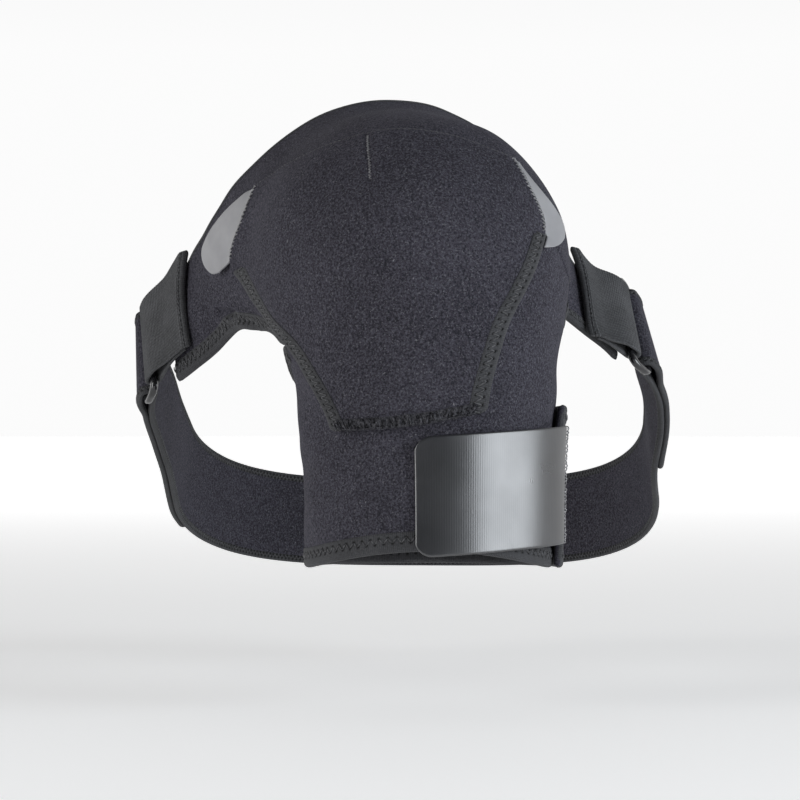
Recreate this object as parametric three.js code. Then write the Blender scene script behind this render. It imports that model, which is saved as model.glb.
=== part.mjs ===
// A shoulder brace of plush-faced foam cloth for the right shoulder, in its worn form, in millimetres.
// +X is the wearer's front, +Y runs from the right arm to the other side of the body, and +Z is up.
// The origin is the seat: the point of the body that the top of the brace hangs on.
import * as THREE from "three";

// Sizes of the body that the brace is cut for
const SHOULDER_RISE = 100; // armpit level up to the seat
const ARM_WIDTH = 104; // front to back, at the sleeve's hem
const CHEST_DEPTH = 236;
const CHEST_WIDTH = 252;

// Cloth and tape thicknesses, and the clearances between the layers
const SKIN_GAP = 0.8;
const CLOTH = 3;
const PANEL_CLOTH = 2.8;
const TAPE_RISE = 0.6; // how far an edge tape stands above the cloth that it edges
const FLAP_THICKNESS = 1.2;
const TAB_THICKNESS = 1.3;
const BAND_THICKNESS = 2;
const STRAP_THICKNESS = 2.6;
const GAP = 0.3;
const SEAM_GAP = 0.5; // between two pieces sewn edge to edge
const LAYER_GAP = 0.6; // between two cloths that lie on each other round a bend

// Widths and lengths
const TAPE_WIDTH = 9;
const NECK_TAPE_WIDTH = 4;
const HEM_ARCH = 9; // how far the hem rises at the arm's outer side
const PANEL_BAND_WIDTH = 8;
const FLAP_WIDTH = 20;
const FLAP_LAP = 3;
const TAB_LENGTH = 84;
const TAB_HEIGHT = 53;
const TAB_DROP = 14; // from armpit level down to the tab's upper edge
const TAB_LAP = 7;
const TAB_CORNER = 7;
const SLEEVE_DROP = TAB_DROP + TAB_HEIGHT + HEM_ARCH; // from armpit level down to the hem, at the sides
const BAND_WIDTH = 44;
const STRAP_WIDTH = 48;
const STRAP_TAPE_WIDTH = 4;
const STRAP_CORNER = 10;
const BACK_TAIL = 156; // stretch of the strap folded back on itself behind
const FRONT_TAIL = 84;
const RING_ROD = 3.6;
const RING_BAR_SPACING = 10.6;
const RING_SIDE_CLEARANCE = 1.5;
const LEG_BLEND = 16; // stretch over which a folded layer comes down from the ring to the layer below

// Levels above the body
const BASE_TOP = SKIN_GAP + CLOTH;
const BASE_TAPE_TOP = BASE_TOP + TAPE_RISE;
const PANEL_FLOOR = BASE_TOP + LAYER_GAP;
const PANEL_TOP = PANEL_FLOOR + PANEL_CLOTH;
const FLAP_FLOOR = PANEL_TOP + TAPE_RISE + GAP;
const BAND_FLOOR = BASE_TAPE_TOP + LAYER_GAP;
const BEND_RADIUS = RING_ROD / 2 + GAP; // inside radius of a fold round a ring's bar
const RING_LEVEL = BAND_FLOOR + BAND_THICKNESS + BEND_RADIUS;

// Rounded masses of the body: middle and half sizes, as shares of the shoulder rise
const MASSES = [
  { part: "upper arm cap", x: 0.09, y: 0.04, z: 0.58, rx: 0.62, ry: 0.55, rz: 0.66 },
  { part: "breast", x: 0.43, y: 1.28, z: -0.18, rx: 0.79, ry: 0.72, rz: 0.97 },
  { part: "shoulder blade", x: -0.42, y: 1.24, z: 0.15, rx: 0.75, ry: 0.74, rz: 0.95 },
  { part: "shoulder top", x: -0.08, y: 0.84, z: 0.66, rx: 0.81, ry: 0.86, rz: 0.66 },
];
const NECK_SLOPE = { from: [-0.04, 0.2, 0.76], to: [-0.12, 1.5, 1.08], r0: 0.42, r1: 0.56 };
const ARM_AXIS = { from: [0.12, 0.02, 0.6], to: [0.14, -0.44, -2.6] };
const ARM_TAPER = { top: 1.096, bottom: 0.865 }; // of the arm's half width
const CHEST = { x: 0.08, near: 0.74, z: -0.7, rz: 2.1 };
const MASS_BLEND = 0.11;
const LIMB_BLEND = 0.05;

// The yoke's ribs from the back wing to the front one: neck edge, crown and arm edge, shares of the rise
const YOKE_RIBS = [
  { nx: -1.03, ny: 0.88, nz: 0.62, cx: -1.09, cy: 0.84, cz: 0.34, ax: -1.13, ay: 0.78, az: 0.08 },
  { nx: -0.99, ny: 0.75, nz: 0.76, cx: -1.06, cy: 0.69, cz: 0.43, ax: -1.05, ay: 0.63, az: 0.14 },
  { nx: -0.94, ny: 0.62, nz: 0.89, cx: -1.0, cy: 0.55, cz: 0.54, ax: -0.95, ay: 0.5, az: 0.21 },
  { nx: -0.83, ny: 0.55, nz: 1.02, cx: -0.92, cy: 0.42, cz: 0.65, ax: -0.82, ay: 0.38, az: 0.3 },
  { nx: -0.69, ny: 0.51, nz: 1.16, cx: -0.78, cy: 0.3, cz: 0.75, ax: -0.7, ay: 0.26, az: 0.31 },
  { nx: -0.51, ny: 0.5, nz: 1.28, cx: -0.6, cy: 0.08, cz: 0.82, ax: -0.56, ay: -0.06, az: 0.24 },
  { nx: -0.29, ny: 0.51, nz: 1.34, cx: -0.38, cy: -0.18, cz: 0.95, ax: -0.36, ay: -0.4, az: 0.31 },
  { nx: -0.08, ny: 0.53, nz: 1.38, cx: -0.12, cy: -0.28, cz: 1.05, ax: -0.05, ay: -0.53, az: 0.44 },
  { nx: 0.14, ny: 0.56, nz: 1.36, cx: 0.14, cy: -0.3, cz: 1.08, ax: 0.24, ay: -0.53, az: 0.56 },
  { nx: 0.32, ny: 0.62, nz: 1.32, cx: 0.36, cy: -0.24, cz: 1.08, ax: 0.44, ay: -0.47, az: 0.66 },
  { nx: 0.46, ny: 0.63, nz: 1.2, cx: 0.52, cy: -0.1, cz: 1.04, ax: 0.58, ay: -0.4, az: 0.74 },
  { nx: 0.57, ny: 0.66, nz: 1.07, cx: 0.63, cy: 0.06, cz: 0.92, ax: 0.67, ay: -0.3, az: 0.76 },
  { nx: 0.68, ny: 0.7, nz: 0.94, cx: 0.73, cy: 0.26, cz: 0.78, ax: 0.81, ay: 0.04, az: 0.51 },
  { nx: 0.78, ny: 0.76, nz: 0.83, cx: 0.82, cy: 0.52, cz: 0.68, ax: 0.88, ay: 0.5, az: 0.46 },
  { nx: 0.85, ny: 0.82, nz: 0.78, cx: 0.91, cy: 0.68, cz: 0.59, ax: 0.97, ay: 0.64, az: 0.39 },
  { nx: 0.9, ny: 0.89, nz: 0.73, cx: 0.98, cy: 0.8, cz: 0.5, ax: 1.05, ay: 0.75, az: 0.3 },
  { nx: 0.95, ny: 0.97, nz: 0.68, cx: 1.03, cy: 0.92, cz: 0.41, ax: 1.1, ay: 0.85, az: 0.21 },
];
const RIB_STATION = 1 / 48; // spacing of the ribs that the yoke and sleeve are cut along
const PANEL_STATION = 1 / 16;
const SEAM_RIBS = { from: 5, to: 12 }; // the ribs between which the yoke is sewn to the sleeve

// The sleeve's turn, from its hidden end to its free end: angle from the outer side towards the
// front in degrees, height of the top edge as a share of the rise, and how far it has lapped
const SLEEVE_TURN = [
  { angle: 118, top: 0.04, lap: 0 },
  { angle: 104, top: 0.3, lap: 0 },
  { angle: 88, rib: 12, lap: 0 },
  { angle: 72, rib: 11, lap: 0 },
  { angle: 58, rib: 10, lap: 0 },
  { angle: 36, rib: 9, lap: 0 },
  { angle: 14, rib: 8, lap: 0 },
  { angle: -16, rib: 7, lap: 0 },
  { angle: -48, rib: 6, lap: 0 },
  { angle: -84, rib: 5, lap: 0 },
  { angle: -118, top: 0.14, lap: 0 },
  { angle: -150, top: 0.02, lap: 0 },
  { angle: -180, top: -0.04, lap: 0.05 },
  { angle: -208, top: -0.04, lap: 0.5 },
  { angle: -234, top: -0.03, lap: 1 },
  { angle: -258, top: -0.02, lap: 1 },
  { angle: -281, top: -0.02, lap: 1 },
];

// The outer panel seen from the arm's outer side, top to bottom: its back and front edges, and how far
// the row bows up between them, as shares of the rise
const PANEL_ROWS = [
  { backX: -0.68, backZ: 1.03, frontX: 0.52, frontZ: 1.12, bow: 0.17 },
  { backX: -0.74, backZ: 0.84, frontX: 0.61, frontZ: 0.96, bow: 0.14 },
  { backX: -0.78, backZ: 0.63, frontX: 0.69, frontZ: 0.78, bow: 0.09 },
  { backX: -0.69, backZ: 0.51, frontX: 0.65, frontZ: 0.65, bow: 0.05 },
  { backX: -0.6, backZ: 0.39, frontX: 0.57, frontZ: 0.5, bow: 0.02 },
  { backX: -0.51, backZ: 0.25, frontX: 0.5, frontZ: 0.35, bow: 0 },
  { backX: -0.43, backZ: 0.11, frontX: 0.45, frontZ: 0.21, bow: -0.01 },
  { backX: -0.36, backZ: -0.02, frontX: 0.41, frontZ: 0.07, bow: -0.02 },
  { backX: -0.31, backZ: -0.14, frontX: 0.39, frontZ: -0.05, bow: -0.02 },
];
const PANEL_TAPED_FROM = 0.25; // share of the panel's height where its sides' edge tapes start
const FLAP_SPAN = { from: 0.02, to: 0.29 };

// The strap's line over the wings, and the chest loop between the rings, as shares of the rise
const BACK_RUN = [[-1.06, 0.66, 0.54], [-1.11, 0.82, 0.41], [-1.15, 0.99, 0.26]];
const FRONT_RUN = [[1.05, 0.98, 0.34], [0.99, 0.88, 0.46], [0.93, 0.78, 0.59]];
const LOOP_LOW = -0.68; // height of the loop under the other armpit
// The bands: from the line's end to the sewn edge's middle and to the ring's first bar, and how far the
// sewn edge slants, as a share of the distance across
const BAND_BACK = { sewn: 5, ring: 43, slant: -0.25 };
const BAND_FRONT = { sewn: 2, ring: 35, slant: 0.4 };

// Finishes of the cloths, tapes and plastics
const CLOTH_COLOUR = 0x2b2a31;
const TAPE_COLOUR = 0x2a2b2d;
const FLAP_COLOUR = 0x9b9b9c;
const TAB_COLOUR = 0x3b3d42;
const BAND_COLOUR = 0x242528;
const RING_COLOUR = 0x141416;

const vec = (x, y, z) => new THREE.Vector3(x, y, z);
const rise = (x, y, z) => vec(x, y, z).multiplyScalar(SHOULDER_RISE);
const smooth = (x) => {
  const t = Math.min(1, Math.max(0, x));
  return t * t * (3 - 2 * t);
};

// Distance to a rounded mass, close enough near its surface
function massDistance(p, c, r) {
  const q = p.clone().sub(c).divide(r);
  const steep = q.clone().divide(r).length();
  const reach = q.length();
  return (reach * (reach - 1)) / Math.max(steep, 1e-9);
}

// Distance to a limb that tapers from one radius to another
function limbDistance(p, a, b, r0, r1) {
  const span = b.clone().sub(a);
  const t = Math.min(1, Math.max(0, p.clone().sub(a).dot(span) / span.lengthSq()));
  return p.distanceTo(a.clone().addScaledVector(span, t)) - (r0 + (r1 - r0) * t);
}

// The least of several distances with the creases between them filled
function blended(distances, width) {
  const least = Math.min(...distances);
  const sum = distances.reduce((total, d) => total + Math.exp((least - d) / width), 0);
  return least - width * Math.log(sum);
}

const armTop = rise(...ARM_AXIS.from);
const armEnd = rise(...ARM_AXIS.to);
const chestMiddle = vec(
  CHEST.x * SHOULDER_RISE,
  CHEST.near * SHOULDER_RISE + CHEST_WIDTH / 2,
  CHEST.z * SHOULDER_RISE,
);
const chestHalf = vec(CHEST_DEPTH / 2, CHEST_WIDTH / 2, CHEST.rz * SHOULDER_RISE);
const masses = MASSES.map((m) => ({ at: rise(m.x, m.y, m.z), half: rise(m.rx, m.ry, m.rz) }));

// How far a point is outside the body
function outside(p) {
  const upper = masses.map((m) => massDistance(p, m.at, m.half));
  const { from, to, r0, r1 } = NECK_SLOPE;
  upper.push(limbDistance(p, rise(...from), rise(...to), r0 * SHOULDER_RISE, r1 * SHOULDER_RISE));
  const half = ARM_WIDTH / 2;
  const arm = limbDistance(p, armTop, armEnd, ARM_TAPER.top * half, ARM_TAPER.bottom * half);
  const chest = massDistance(p, chestMiddle, chestHalf);
  const shoulder = blended(upper, MASS_BLEND * SHOULDER_RISE);
  return blended([shoulder, arm, chest], LIMB_BLEND * SHOULDER_RISE);
}

function slope(p) {
  const e = 0.5;
  const along = (d) => (outside(p.clone().add(d)) - outside(p.clone().sub(d))) / (2 * e);
  return vec(along(vec(e, 0, 0)), along(vec(0, e, 0)), along(vec(0, 0, e)));
}

const bodyNormal = (p) => slope(p).normalize();

// The point of the body, or of a level above it, that a nearby point falls on
function settle(p, level = 0) {
  const q = p.clone();
  for (let step = 0; step < 10; step += 1) {
    const g = slope(q);
    q.addScaledVector(g, (level - outside(q)) / g.lengthSq());
  }
  return q;
}

// The body's point seen at (x, z) from the arm's outer side
function layOn(x, z, level) {
  const q = vec(x, -1.2 * SHOULDER_RISE, z);
  for (let step = 0; step < 60; step += 1) {
    q.y += 0.85 * Math.min(30, Math.max(-10, outside(q) - level));
  }
  return settle(q);
}

// A smooth value between the numbers of a list, at a share of its length
function between(values, share) {
  const last = values.length - 1;
  const at = Math.min(1, Math.max(0, share)) * last;
  const i = Math.min(last - 1, Math.floor(at));
  const u = at - i;
  const b = values[i];
  const c = values[i + 1];
  const a = i > 0 ? values[i - 1] : 2 * b - c;
  const d = i < last - 1 ? values[i + 2] : 2 * c - b;
  return 0.5 * (2 * b + (c - a) * u + (2 * a - 5 * b + 4 * c - d) * u * u + (3 * b - a - 3 * c + d) * u ** 3);
}

const column = (table, name, share) => between(table.map((row) => row[name]), share);

// A rib: points across a sheet from one edge to the other, settled on the body
const RIB_STEPS = 24;
function rib(pointAt) {
  const points = [];
  for (let k = 0; k <= RIB_STEPS; k += 1) {
    points.push(settle(pointAt(k / RIB_STEPS)));
  }
  return points;
}

// A rib's length, and its point at a distance from its first end
function ribLength(points) {
  let total = 0;
  for (let k = 1; k < points.length; k += 1) {
    total += points[k].distanceTo(points[k - 1]);
  }
  return total;
}

function ribPoint(points, distance) {
  let left = distance;
  for (let k = 1; k < points.length; k += 1) {
    const step = points[k].distanceTo(points[k - 1]);
    if (left <= step || k === points.length - 1) {
      return points[k - 1].clone().lerp(points[k], left / step);
    }
    left -= step;
  }
  return points[0].clone();
}

// The curve through three points at shares 0, a half and 1
function arch(a, b, c, u) {
  return a.clone().multiplyScalar(2 * (u - 0.5) * (u - 1))
    .addScaledVector(b, -4 * u * (u - 1))
    .addScaledVector(c, 2 * u * (u - 0.5));
}

const yokePoint = (share, edge) => rise(
  column(YOKE_RIBS, `${edge}x`, share),
  column(YOKE_RIBS, `${edge}y`, share),
  column(YOKE_RIBS, `${edge}z`, share),
);

// Sheets: each gives its rib at a share of its length
function yokeRib(share) {
  const neck = yokePoint(share, "n");
  const crown = yokePoint(share, "c");
  const arm = yokePoint(share, "a");
  return rib((u) => arch(neck, crown, arm, u));
}

function aroundArm(angle, height, radius) {
  const t = (armTop.z - height) / (armTop.z - armEnd.z);
  const middle = armTop.clone().lerp(armEnd, t);
  const turn = THREE.MathUtils.degToRad(angle);
  return vec(middle.x + radius * Math.sin(turn), middle.y - radius * Math.cos(turn), height);
}

function sleeveTops() {
  return SLEEVE_TURN.map((row) => {
    if (row.rib === undefined) {
      return aroundArm(row.angle, row.top * SHOULDER_RISE, ARM_WIDTH / 2);
    }
    return yokePoint(row.rib / (YOKE_RIBS.length - 1), "a");
  });
}
const tops = sleeveTops();
const seamRow = SLEEVE_TURN.findIndex((row) => row.rib === SEAM_RIBS.to);
const seamRowLast = SLEEVE_TURN.findIndex((row) => row.rib === SEAM_RIBS.from);

// The sleeve's top edge, which follows the yoke's arm edge where the two are sewn
function sleeveTop(share) {
  const row = share * (SLEEVE_TURN.length - 1);
  if (row >= seamRow && row <= seamRowLast) {
    return yokePoint((SEAM_RIBS.to - (row - seamRow)) / (YOKE_RIBS.length - 1), "a");
  }
  return vec(...["x", "y", "z"].map((axis) => between(tops.map((p) => p[axis]), share)));
}

function sleeveRib(share) {
  const angle = column(SLEEVE_TURN, "angle", share);
  const top = sleeveTop(share);
  const lateral = Math.max(0, Math.cos(THREE.MathUtils.degToRad(angle)));
  const hem = aroundArm(angle, -SLEEVE_DROP + HEM_ARCH * lateral ** 2, ARM_WIDTH / 2);
  const half = (hem.z + top.z) / 2;
  const axisPoint = aroundArm(0, half, 0);
  const out = hem.clone().lerp(top, 0.5).sub(axisPoint).setZ(0).setLength(0.55 * ARM_WIDTH);
  return rib((u) => arch(hem, axisPoint.clone().add(out), top, u));
}

function panelRib(share) {
  const row = (name) => column(PANEL_ROWS, name, share) * SHOULDER_RISE;
  const points = [];
  for (let k = 0; k <= RIB_STEPS; k += 1) {
    const u = k / RIB_STEPS;
    const x = row("backX") * (1 - u) + row("frontX") * u;
    const z = row("backZ") * (1 - u) + row("frontZ") * u + 4 * row("bow") * u * (1 - u);
    points.push(layOn(x, z, PANEL_TOP));
  }
  return points;
}

// A closed solid between two grids of points, one above the other
function slab(rows, closed = false) {
  const across = rows[0].length;
  const position = [];
  rows.forEach((row) => row.forEach((cell) => position.push(...cell.top.toArray(), ...cell.under.toArray())));
  const at = (i, j, side) => 2 * ((i % rows.length) * across + j) + side;
  const index = [];
  const quad = (a, b, c, d) => index.push(a, b, c, a, c, d);
  const last = closed ? rows.length : rows.length - 1;
  for (let i = 0; i < last; i += 1) {
    for (let j = 0; j < across - 1; j += 1) {
      quad(at(i, j, 0), at(i + 1, j, 0), at(i + 1, j + 1, 0), at(i, j + 1, 0));
      quad(at(i, j, 1), at(i, j + 1, 1), at(i + 1, j + 1, 1), at(i + 1, j, 1));
    }
    quad(at(i, 0, 1), at(i + 1, 0, 1), at(i + 1, 0, 0), at(i, 0, 0));
    quad(at(i, across - 1, 0), at(i + 1, across - 1, 0), at(i + 1, across - 1, 1), at(i, across - 1, 1));
  }
  if (!closed) {
    for (let j = 0; j < across - 1; j += 1) {
      quad(at(0, j, 0), at(0, j + 1, 0), at(0, j + 1, 1), at(0, j, 1));
      quad(at(last, j, 0), at(last, j, 1), at(last, j + 1, 1), at(last, j + 1, 0));
    }
  }
  return outward(position, index);
}

// Geometry whose faces point out
function outward(position, index) {
  const corner = (k) => vec(position[3 * k], position[3 * k + 1], position[3 * k + 2]);
  let volume = 0;
  for (let k = 0; k < index.length; k += 3) {
    volume += corner(index[k]).dot(corner(index[k + 1]).cross(corner(index[k + 2])));
  }
  const geometry = new THREE.BufferGeometry();
  geometry.setAttribute("position", new THREE.Float32BufferAttribute(position, 3));
  geometry.setIndex(volume > 0 ? index : index.reverse());
  geometry.computeVertexNormals();
  return geometry;
}

// Shares of a sheet's ribs: both ends of a stretch, and the whole steps between them
function stationsOf(from, to, step) {
  const inside = [];
  for (let k = Math.ceil(from / step + 0.3); k * step < to - 0.3 * step; k += 1) {
    inside.push(k * step);
  }
  return [from, ...inside, to];
}

// A piece cut from a sheet: a stretch of shares, and for each rib the distances where it starts and ends
function cut({ sheet, from, to, step, columns, start, end, under, top }) {
  const grid = [];
  for (const share of stationsOf(from, to, step)) {
    const points = sheet(share);
    const length = ribLength(points);
    const first = start(share, length);
    const last = end(share, length);
    const row = [];
    for (let j = 0; j < columns; j += 1) {
      const p = settle(ribPoint(points, first + ((last - first) * j) / (columns - 1)));
      const n = bodyNormal(p);
      row.push({
        top: p.clone().addScaledVector(n, top(share)),
        under: p.clone().addScaledVector(n, under(share)),
      });
    }
    grid.push(row);
  }
  return slab(grid);
}

const group = new THREE.Group();
function add(name, geometry, color, roughness, metalness = 0) {
  const mesh = new THREE.Mesh(geometry, new THREE.MeshStandardMaterial({ color, roughness, metalness }));
  mesh.name = name;
  group.add(mesh);
}
const addCloth = (name, geometry) => add(name, geometry, CLOTH_COLOUR, 0.95);
const addTape = (name, geometry) => add(name, geometry, TAPE_COLOUR, 0.85);

const always = (value) => () => value;
const ribShare = (k) => k / (YOKE_RIBS.length - 1);
const seamFrom = ribShare(SEAM_RIBS.from);
const seamTo = ribShare(SEAM_RIBS.to);

// Yoke with its neck tape and the tapes along the wings' lower edges
function makeYoke() {
  const sewn = (share) => share > seamFrom - 1e-6 && share < seamTo + 1e-6;
  const base = { sheet: yokeRib, step: RIB_STATION, under: always(SKIN_GAP), top: always(BASE_TOP) };
  const tape = { ...base, under: always(SKIN_GAP - TAPE_RISE), top: always(BASE_TAPE_TOP) };
  const whole = { from: 0, to: 1 };
  const coreEnd = (share, length) => length - SEAM_GAP - (sewn(share) ? 0 : TAPE_WIDTH);
  addCloth("yoke", cut({
    ...base, ...whole, columns: 12, start: always(NECK_TAPE_WIDTH + SEAM_GAP), end: coreEnd,
  }));
  addTape("neck_binding", cut({
    ...tape, ...whole, columns: 2, start: always(0), end: always(NECK_TAPE_WIDTH),
  }));
  const edge = {
    ...tape,
    columns: 3,
    start: (share, length) => length - TAPE_WIDTH,
    end: (share, length) => length,
  };
  const clear = RIB_STATION;
  addTape("wing_binding_back", cut({ ...edge, from: 0, to: seamFrom - clear }));
  addTape("wing_binding_front", cut({ ...edge, from: seamTo + clear, to: 1 }));
}

// Sleeve with its tapes at the hem, the armpit and the free end
function makeSleeve() {
  const lift = (share) => smooth(column(SLEEVE_TURN, "lap", share)) * (CLOTH + 2 * TAPE_RISE + LAYER_GAP);
  const turnLast = SLEEVE_TURN.length - 1;
  const open = { back: 9 / turnLast + RIB_STATION, front: 2 / turnLast - RIB_STATION };
  const turnLength = ribLength([...Array(61).keys()].map((k) => settle(ribPoint(sleeveRib(k / 60), 20))));
  const endShare = TAPE_WIDTH / turnLength;
  const clearShare = SEAM_GAP / turnLength;
  const base = {
    sheet: sleeveRib,
    step: RIB_STATION,
    under: (s) => SKIN_GAP + lift(s),
    top: (s) => BASE_TOP + lift(s),
  };
  const tape = {
    ...base,
    under: (s) => SKIN_GAP - TAPE_RISE + lift(s),
    top: (s) => BASE_TAPE_TOP + lift(s),
  };
  const taped = (share) => share < open.front + 1e-6 || share > open.back - 1e-6;
  addCloth("arm_sleeve", cut({
    ...base,
    from: 0,
    to: 1 - endShare - clearShare,
    columns: 9,
    start: always(TAPE_WIDTH + SEAM_GAP),
    end: (share, length) => length - SEAM_GAP - (taped(share) ? TAPE_WIDTH : 0),
  }));
  const coreTo = 1 - endShare - clearShare;
  addTape("sleeve_hem_binding", cut({
    ...tape, from: 0, to: coreTo, columns: 2, start: always(0), end: always(TAPE_WIDTH),
  }));
  const inset = (share, length) => length - TAPE_WIDTH;
  const edge = (share, length) => length;
  addTape("armpit_binding", cut({
    ...tape, from: open.back + RIB_STATION, to: coreTo, columns: 2, start: inset, end: edge,
  }));
  addTape("armhole_binding_front", cut({
    ...tape, from: 0, to: open.front - RIB_STATION, columns: 2, start: inset, end: edge,
  }));
  addTape("sleeve_end_binding", cut({
    ...tape, from: 1 - endShare, to: 1, columns: 8, start: always(0), end: edge,
  }));
  return { turnLength, lift };
}

makeYoke();
const sleeve = makeSleeve();

// Outer panel with its side tapes, bottom band and flaps
function makePanel() {
  const heightOf = ribLength([...Array(41).keys()].map((k) => {
    const points = panelRib(k / 40);
    return ribPoint(points, ribLength(points) / 2);
  }));
  const bandShare = PANEL_BAND_WIDTH / heightOf;
  const clearShare = GAP / heightOf;
  const base = { sheet: panelRib, step: PANEL_STATION, under: always(PANEL_FLOOR), top: always(PANEL_TOP) };
  const tape = { ...base, top: always(PANEL_TOP + TAPE_RISE) };
  const taped = (share) => share > PANEL_TAPED_FROM - 1e-6;
  addCloth("shoulder_panel", cut({
    ...base,
    from: 0,
    to: 1 - bandShare - clearShare,
    columns: 17,
    start: (share) => (taped(share) ? TAPE_WIDTH + GAP : 0),
    end: (share, length) => length - (taped(share) ? TAPE_WIDTH + GAP : 0),
  }));
  const side = { ...tape, from: PANEL_TAPED_FROM + PANEL_STATION, to: 1, columns: 3 };
  addTape("panel_binding_back", cut({ ...side, start: always(0), end: always(TAPE_WIDTH) }));
  addTape("panel_binding_front", cut({
    ...side, start: (share, length) => length - TAPE_WIDTH, end: (share, length) => length,
  }));
  addTape("panel_bottom_band", cut({
    ...tape,
    from: 1 - bandShare,
    to: 1,
    columns: 9,
    start: always(TAPE_WIDTH + GAP),
    end: (share, length) => length - TAPE_WIDTH - GAP,
  }));
}
makePanel();

// Half-moon flaps over the panel's sides, widest low down
function makeFlaps() {
  const { from, to } = FLAP_SPAN;
  const width = (share) => {
    const u = (share - from) / (to - from);
    const grown = Math.sin((Math.PI / 2) * Math.min(1, u / 0.72));
    const turned = Math.sqrt(Math.max(0, 1 - Math.max(0, (u - 0.8) / 0.2) ** 2));
    return FLAP_WIDTH * grown * (0.25 + 0.75 * turned);
  };
  const base = {
    sheet: panelRib,
    from,
    to,
    step: (to - from) / 8,
    columns: 4,
    under: always(FLAP_FLOOR),
    top: always(FLAP_FLOOR + FLAP_THICKNESS),
  };
  const back = cut({ ...base, start: (share) => -width(share), end: always(FLAP_LAP) });
  const front = cut({
    ...base,
    start: (share, length) => length - FLAP_LAP,
    end: (share, length) => length + width(share),
  });
  add("flap_back", back, FLAP_COLOUR, 0.4);
  add("flap_front", front, FLAP_COLOUR, 0.4);
}
makeFlaps();

// Half the width at a distance from an end with round corners
function cornered(half, corner, distance) {
  const short = Math.max(0, corner - distance);
  return half - corner + Math.sqrt(corner ** 2 - short ** 2);
}

// Closure tab: sewn over the sleeve's free end and closed on to the sleeve's outer side
function makeTab() {
  const freeAngle = SLEEVE_TURN[SLEEVE_TURN.length - 1].angle;
  const turn = (distance) => freeAngle - THREE.MathUtils.radToDeg(distance / (ARM_WIDTH / 2));
  const reach = (share) => -TAB_LAP + share * TAB_LENGTH;
  const middle = -SLEEVE_DROP + HEM_ARCH + TAB_HEIGHT / 2;
  const tabRib = (share) => rib((u) => (
    aroundArm(turn(reach(share)), middle + (u - 0.5) * TAB_HEIGHT, ARM_WIDTH / 2)
  ));
  const high = sleeve.lift(1) + BASE_TAPE_TOP + LAYER_GAP;
  const low = BASE_TAPE_TOP + LAYER_GAP;
  const under = (share) => high + (low - high) * smooth((reach(share) - 2) / 9);
  const inset = (share) => TAB_HEIGHT / 2 - cornered(TAB_HEIGHT / 2, TAB_CORNER, (1 - share) * TAB_LENGTH);
  add("closure_tab", cut({
    sheet: tabRib,
    from: 0,
    to: 1,
    step: 1 / 22,
    columns: 6,
    start: inset,
    end: (share, length) => length - inset(share),
    under,
    top: (share) => under(share) + TAB_THICKNESS,
  }), TAB_COLOUR, 0.3);
}
makeTab();

// The taut line of the bands and strap: over the back wing, round the chest and over the front wing
const RUN_SAMPLES = 120;
const LINE_EASING = 12; // passes that ease the line where the wing meets the loop
function strapLine() {
  const back = BACK_RUN.map((p) => rise(...p));
  const front = FRONT_RUN.map((p) => rise(...p));
  const bearing = (p) => Math.atan2(p.y - chestMiddle.y, p.x - chestMiddle.x);
  const first = bearing(back[back.length - 1]) + 2 * Math.PI;
  const last = bearing(front[0]);
  const loop = [];
  const loopSteps = 14;
  for (let k = 1; k < loopSteps; k += 1) {
    const q = k / loopSteps;
    const angle = first + (last - first) * q;
    const end = back[back.length - 1].z * (1 - q) + front[0].z * q;
    const low = LOOP_LOW * SHOULDER_RISE;
    loop.push(vec(
      chestMiddle.x + chestHalf.x * Math.cos(angle),
      chestMiddle.y + chestHalf.y * Math.sin(angle),
      low + (end - low) * (1 - Math.sin(Math.PI * q)) ** 1.5,
    ));
  }
  const rough = new THREE.CatmullRomCurve3([...back, ...loop, ...front]);
  const points = rough.getSpacedPoints(RUN_SAMPLES).map((p) => settle(p));
  const free = points.map((p) => p.y > back[back.length - 1].y);
  for (let pass = 0; pass < 40; pass += 1) {
    for (let k = 1; k < RUN_SAMPLES; k += 1) {
      if (free[k]) {
        const level = points[k].z;
        const q = points[k - 1].clone().add(points[k + 1]).multiplyScalar(0.5).setZ(level);
        points[k] = outside(q) > 0 ? q : settle(q);
      }
    }
  }
  for (let pass = 0; pass < LINE_EASING; pass += 1) {
    const eased = points.map((p, k) => {
      if (k === 0 || k === RUN_SAMPLES) {
        return p;
      }
      const q = points[k - 1].clone().add(points[k + 1]).addScaledVector(p, 2).multiplyScalar(0.25);
      return free[k] && outside(q) > 0 ? q : settle(q);
    });
    points.splice(0, points.length, ...eased);
  }
  return new THREE.CatmullRomCurve3(points);
}

const line = strapLine();
line.arcLengthDivisions = 600;
const lineLength = line.getLength();
const lineNormals = line.getSpacedPoints(RUN_SAMPLES).map(bodyNormal);
const NORMAL_REACH = 4; // samples on each side that a normal is averaged over

// The line's own frame: its point, the way out of the body and the way up across the strap
function frameAt(distance) {
  const share = Math.min(1, Math.max(0, distance / lineLength));
  const at = line.getPointAt(share);
  const tangent = line.getTangentAt(share);
  const out = vec(0, 0, 0);
  lineNormals.forEach((n, k) => {
    const weight = Math.max(0, 1 - Math.abs(k - share * RUN_SAMPLES) / NORMAL_REACH);
    out.addScaledVector(n, weight);
  });
  out.addScaledVector(tangent, -out.dot(tangent)).normalize();
  return { at, out, up: tangent.clone().cross(out) };
}

// A point beside the line: across it, above it, and hugging the wing where it is sewn there
const hug = (distance) => {
  const nearEnd = Math.min(distance / BAND_BACK.ring, (lineLength - distance) / BAND_FRONT.ring);
  return 1 - smooth((nearEnd - 0.35) / 0.4);
};
function place(distance, across, level) {
  const { at, out, up } = frameAt(distance);
  const p = at.addScaledVector(up, across);
  const share = hug(distance);
  if (share > 0) {
    const q = settle(p);
    out.lerp(bodyNormal(q), share).normalize();
    p.lerp(q, share);
  }
  return p.addScaledVector(out, level);
}

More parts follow.
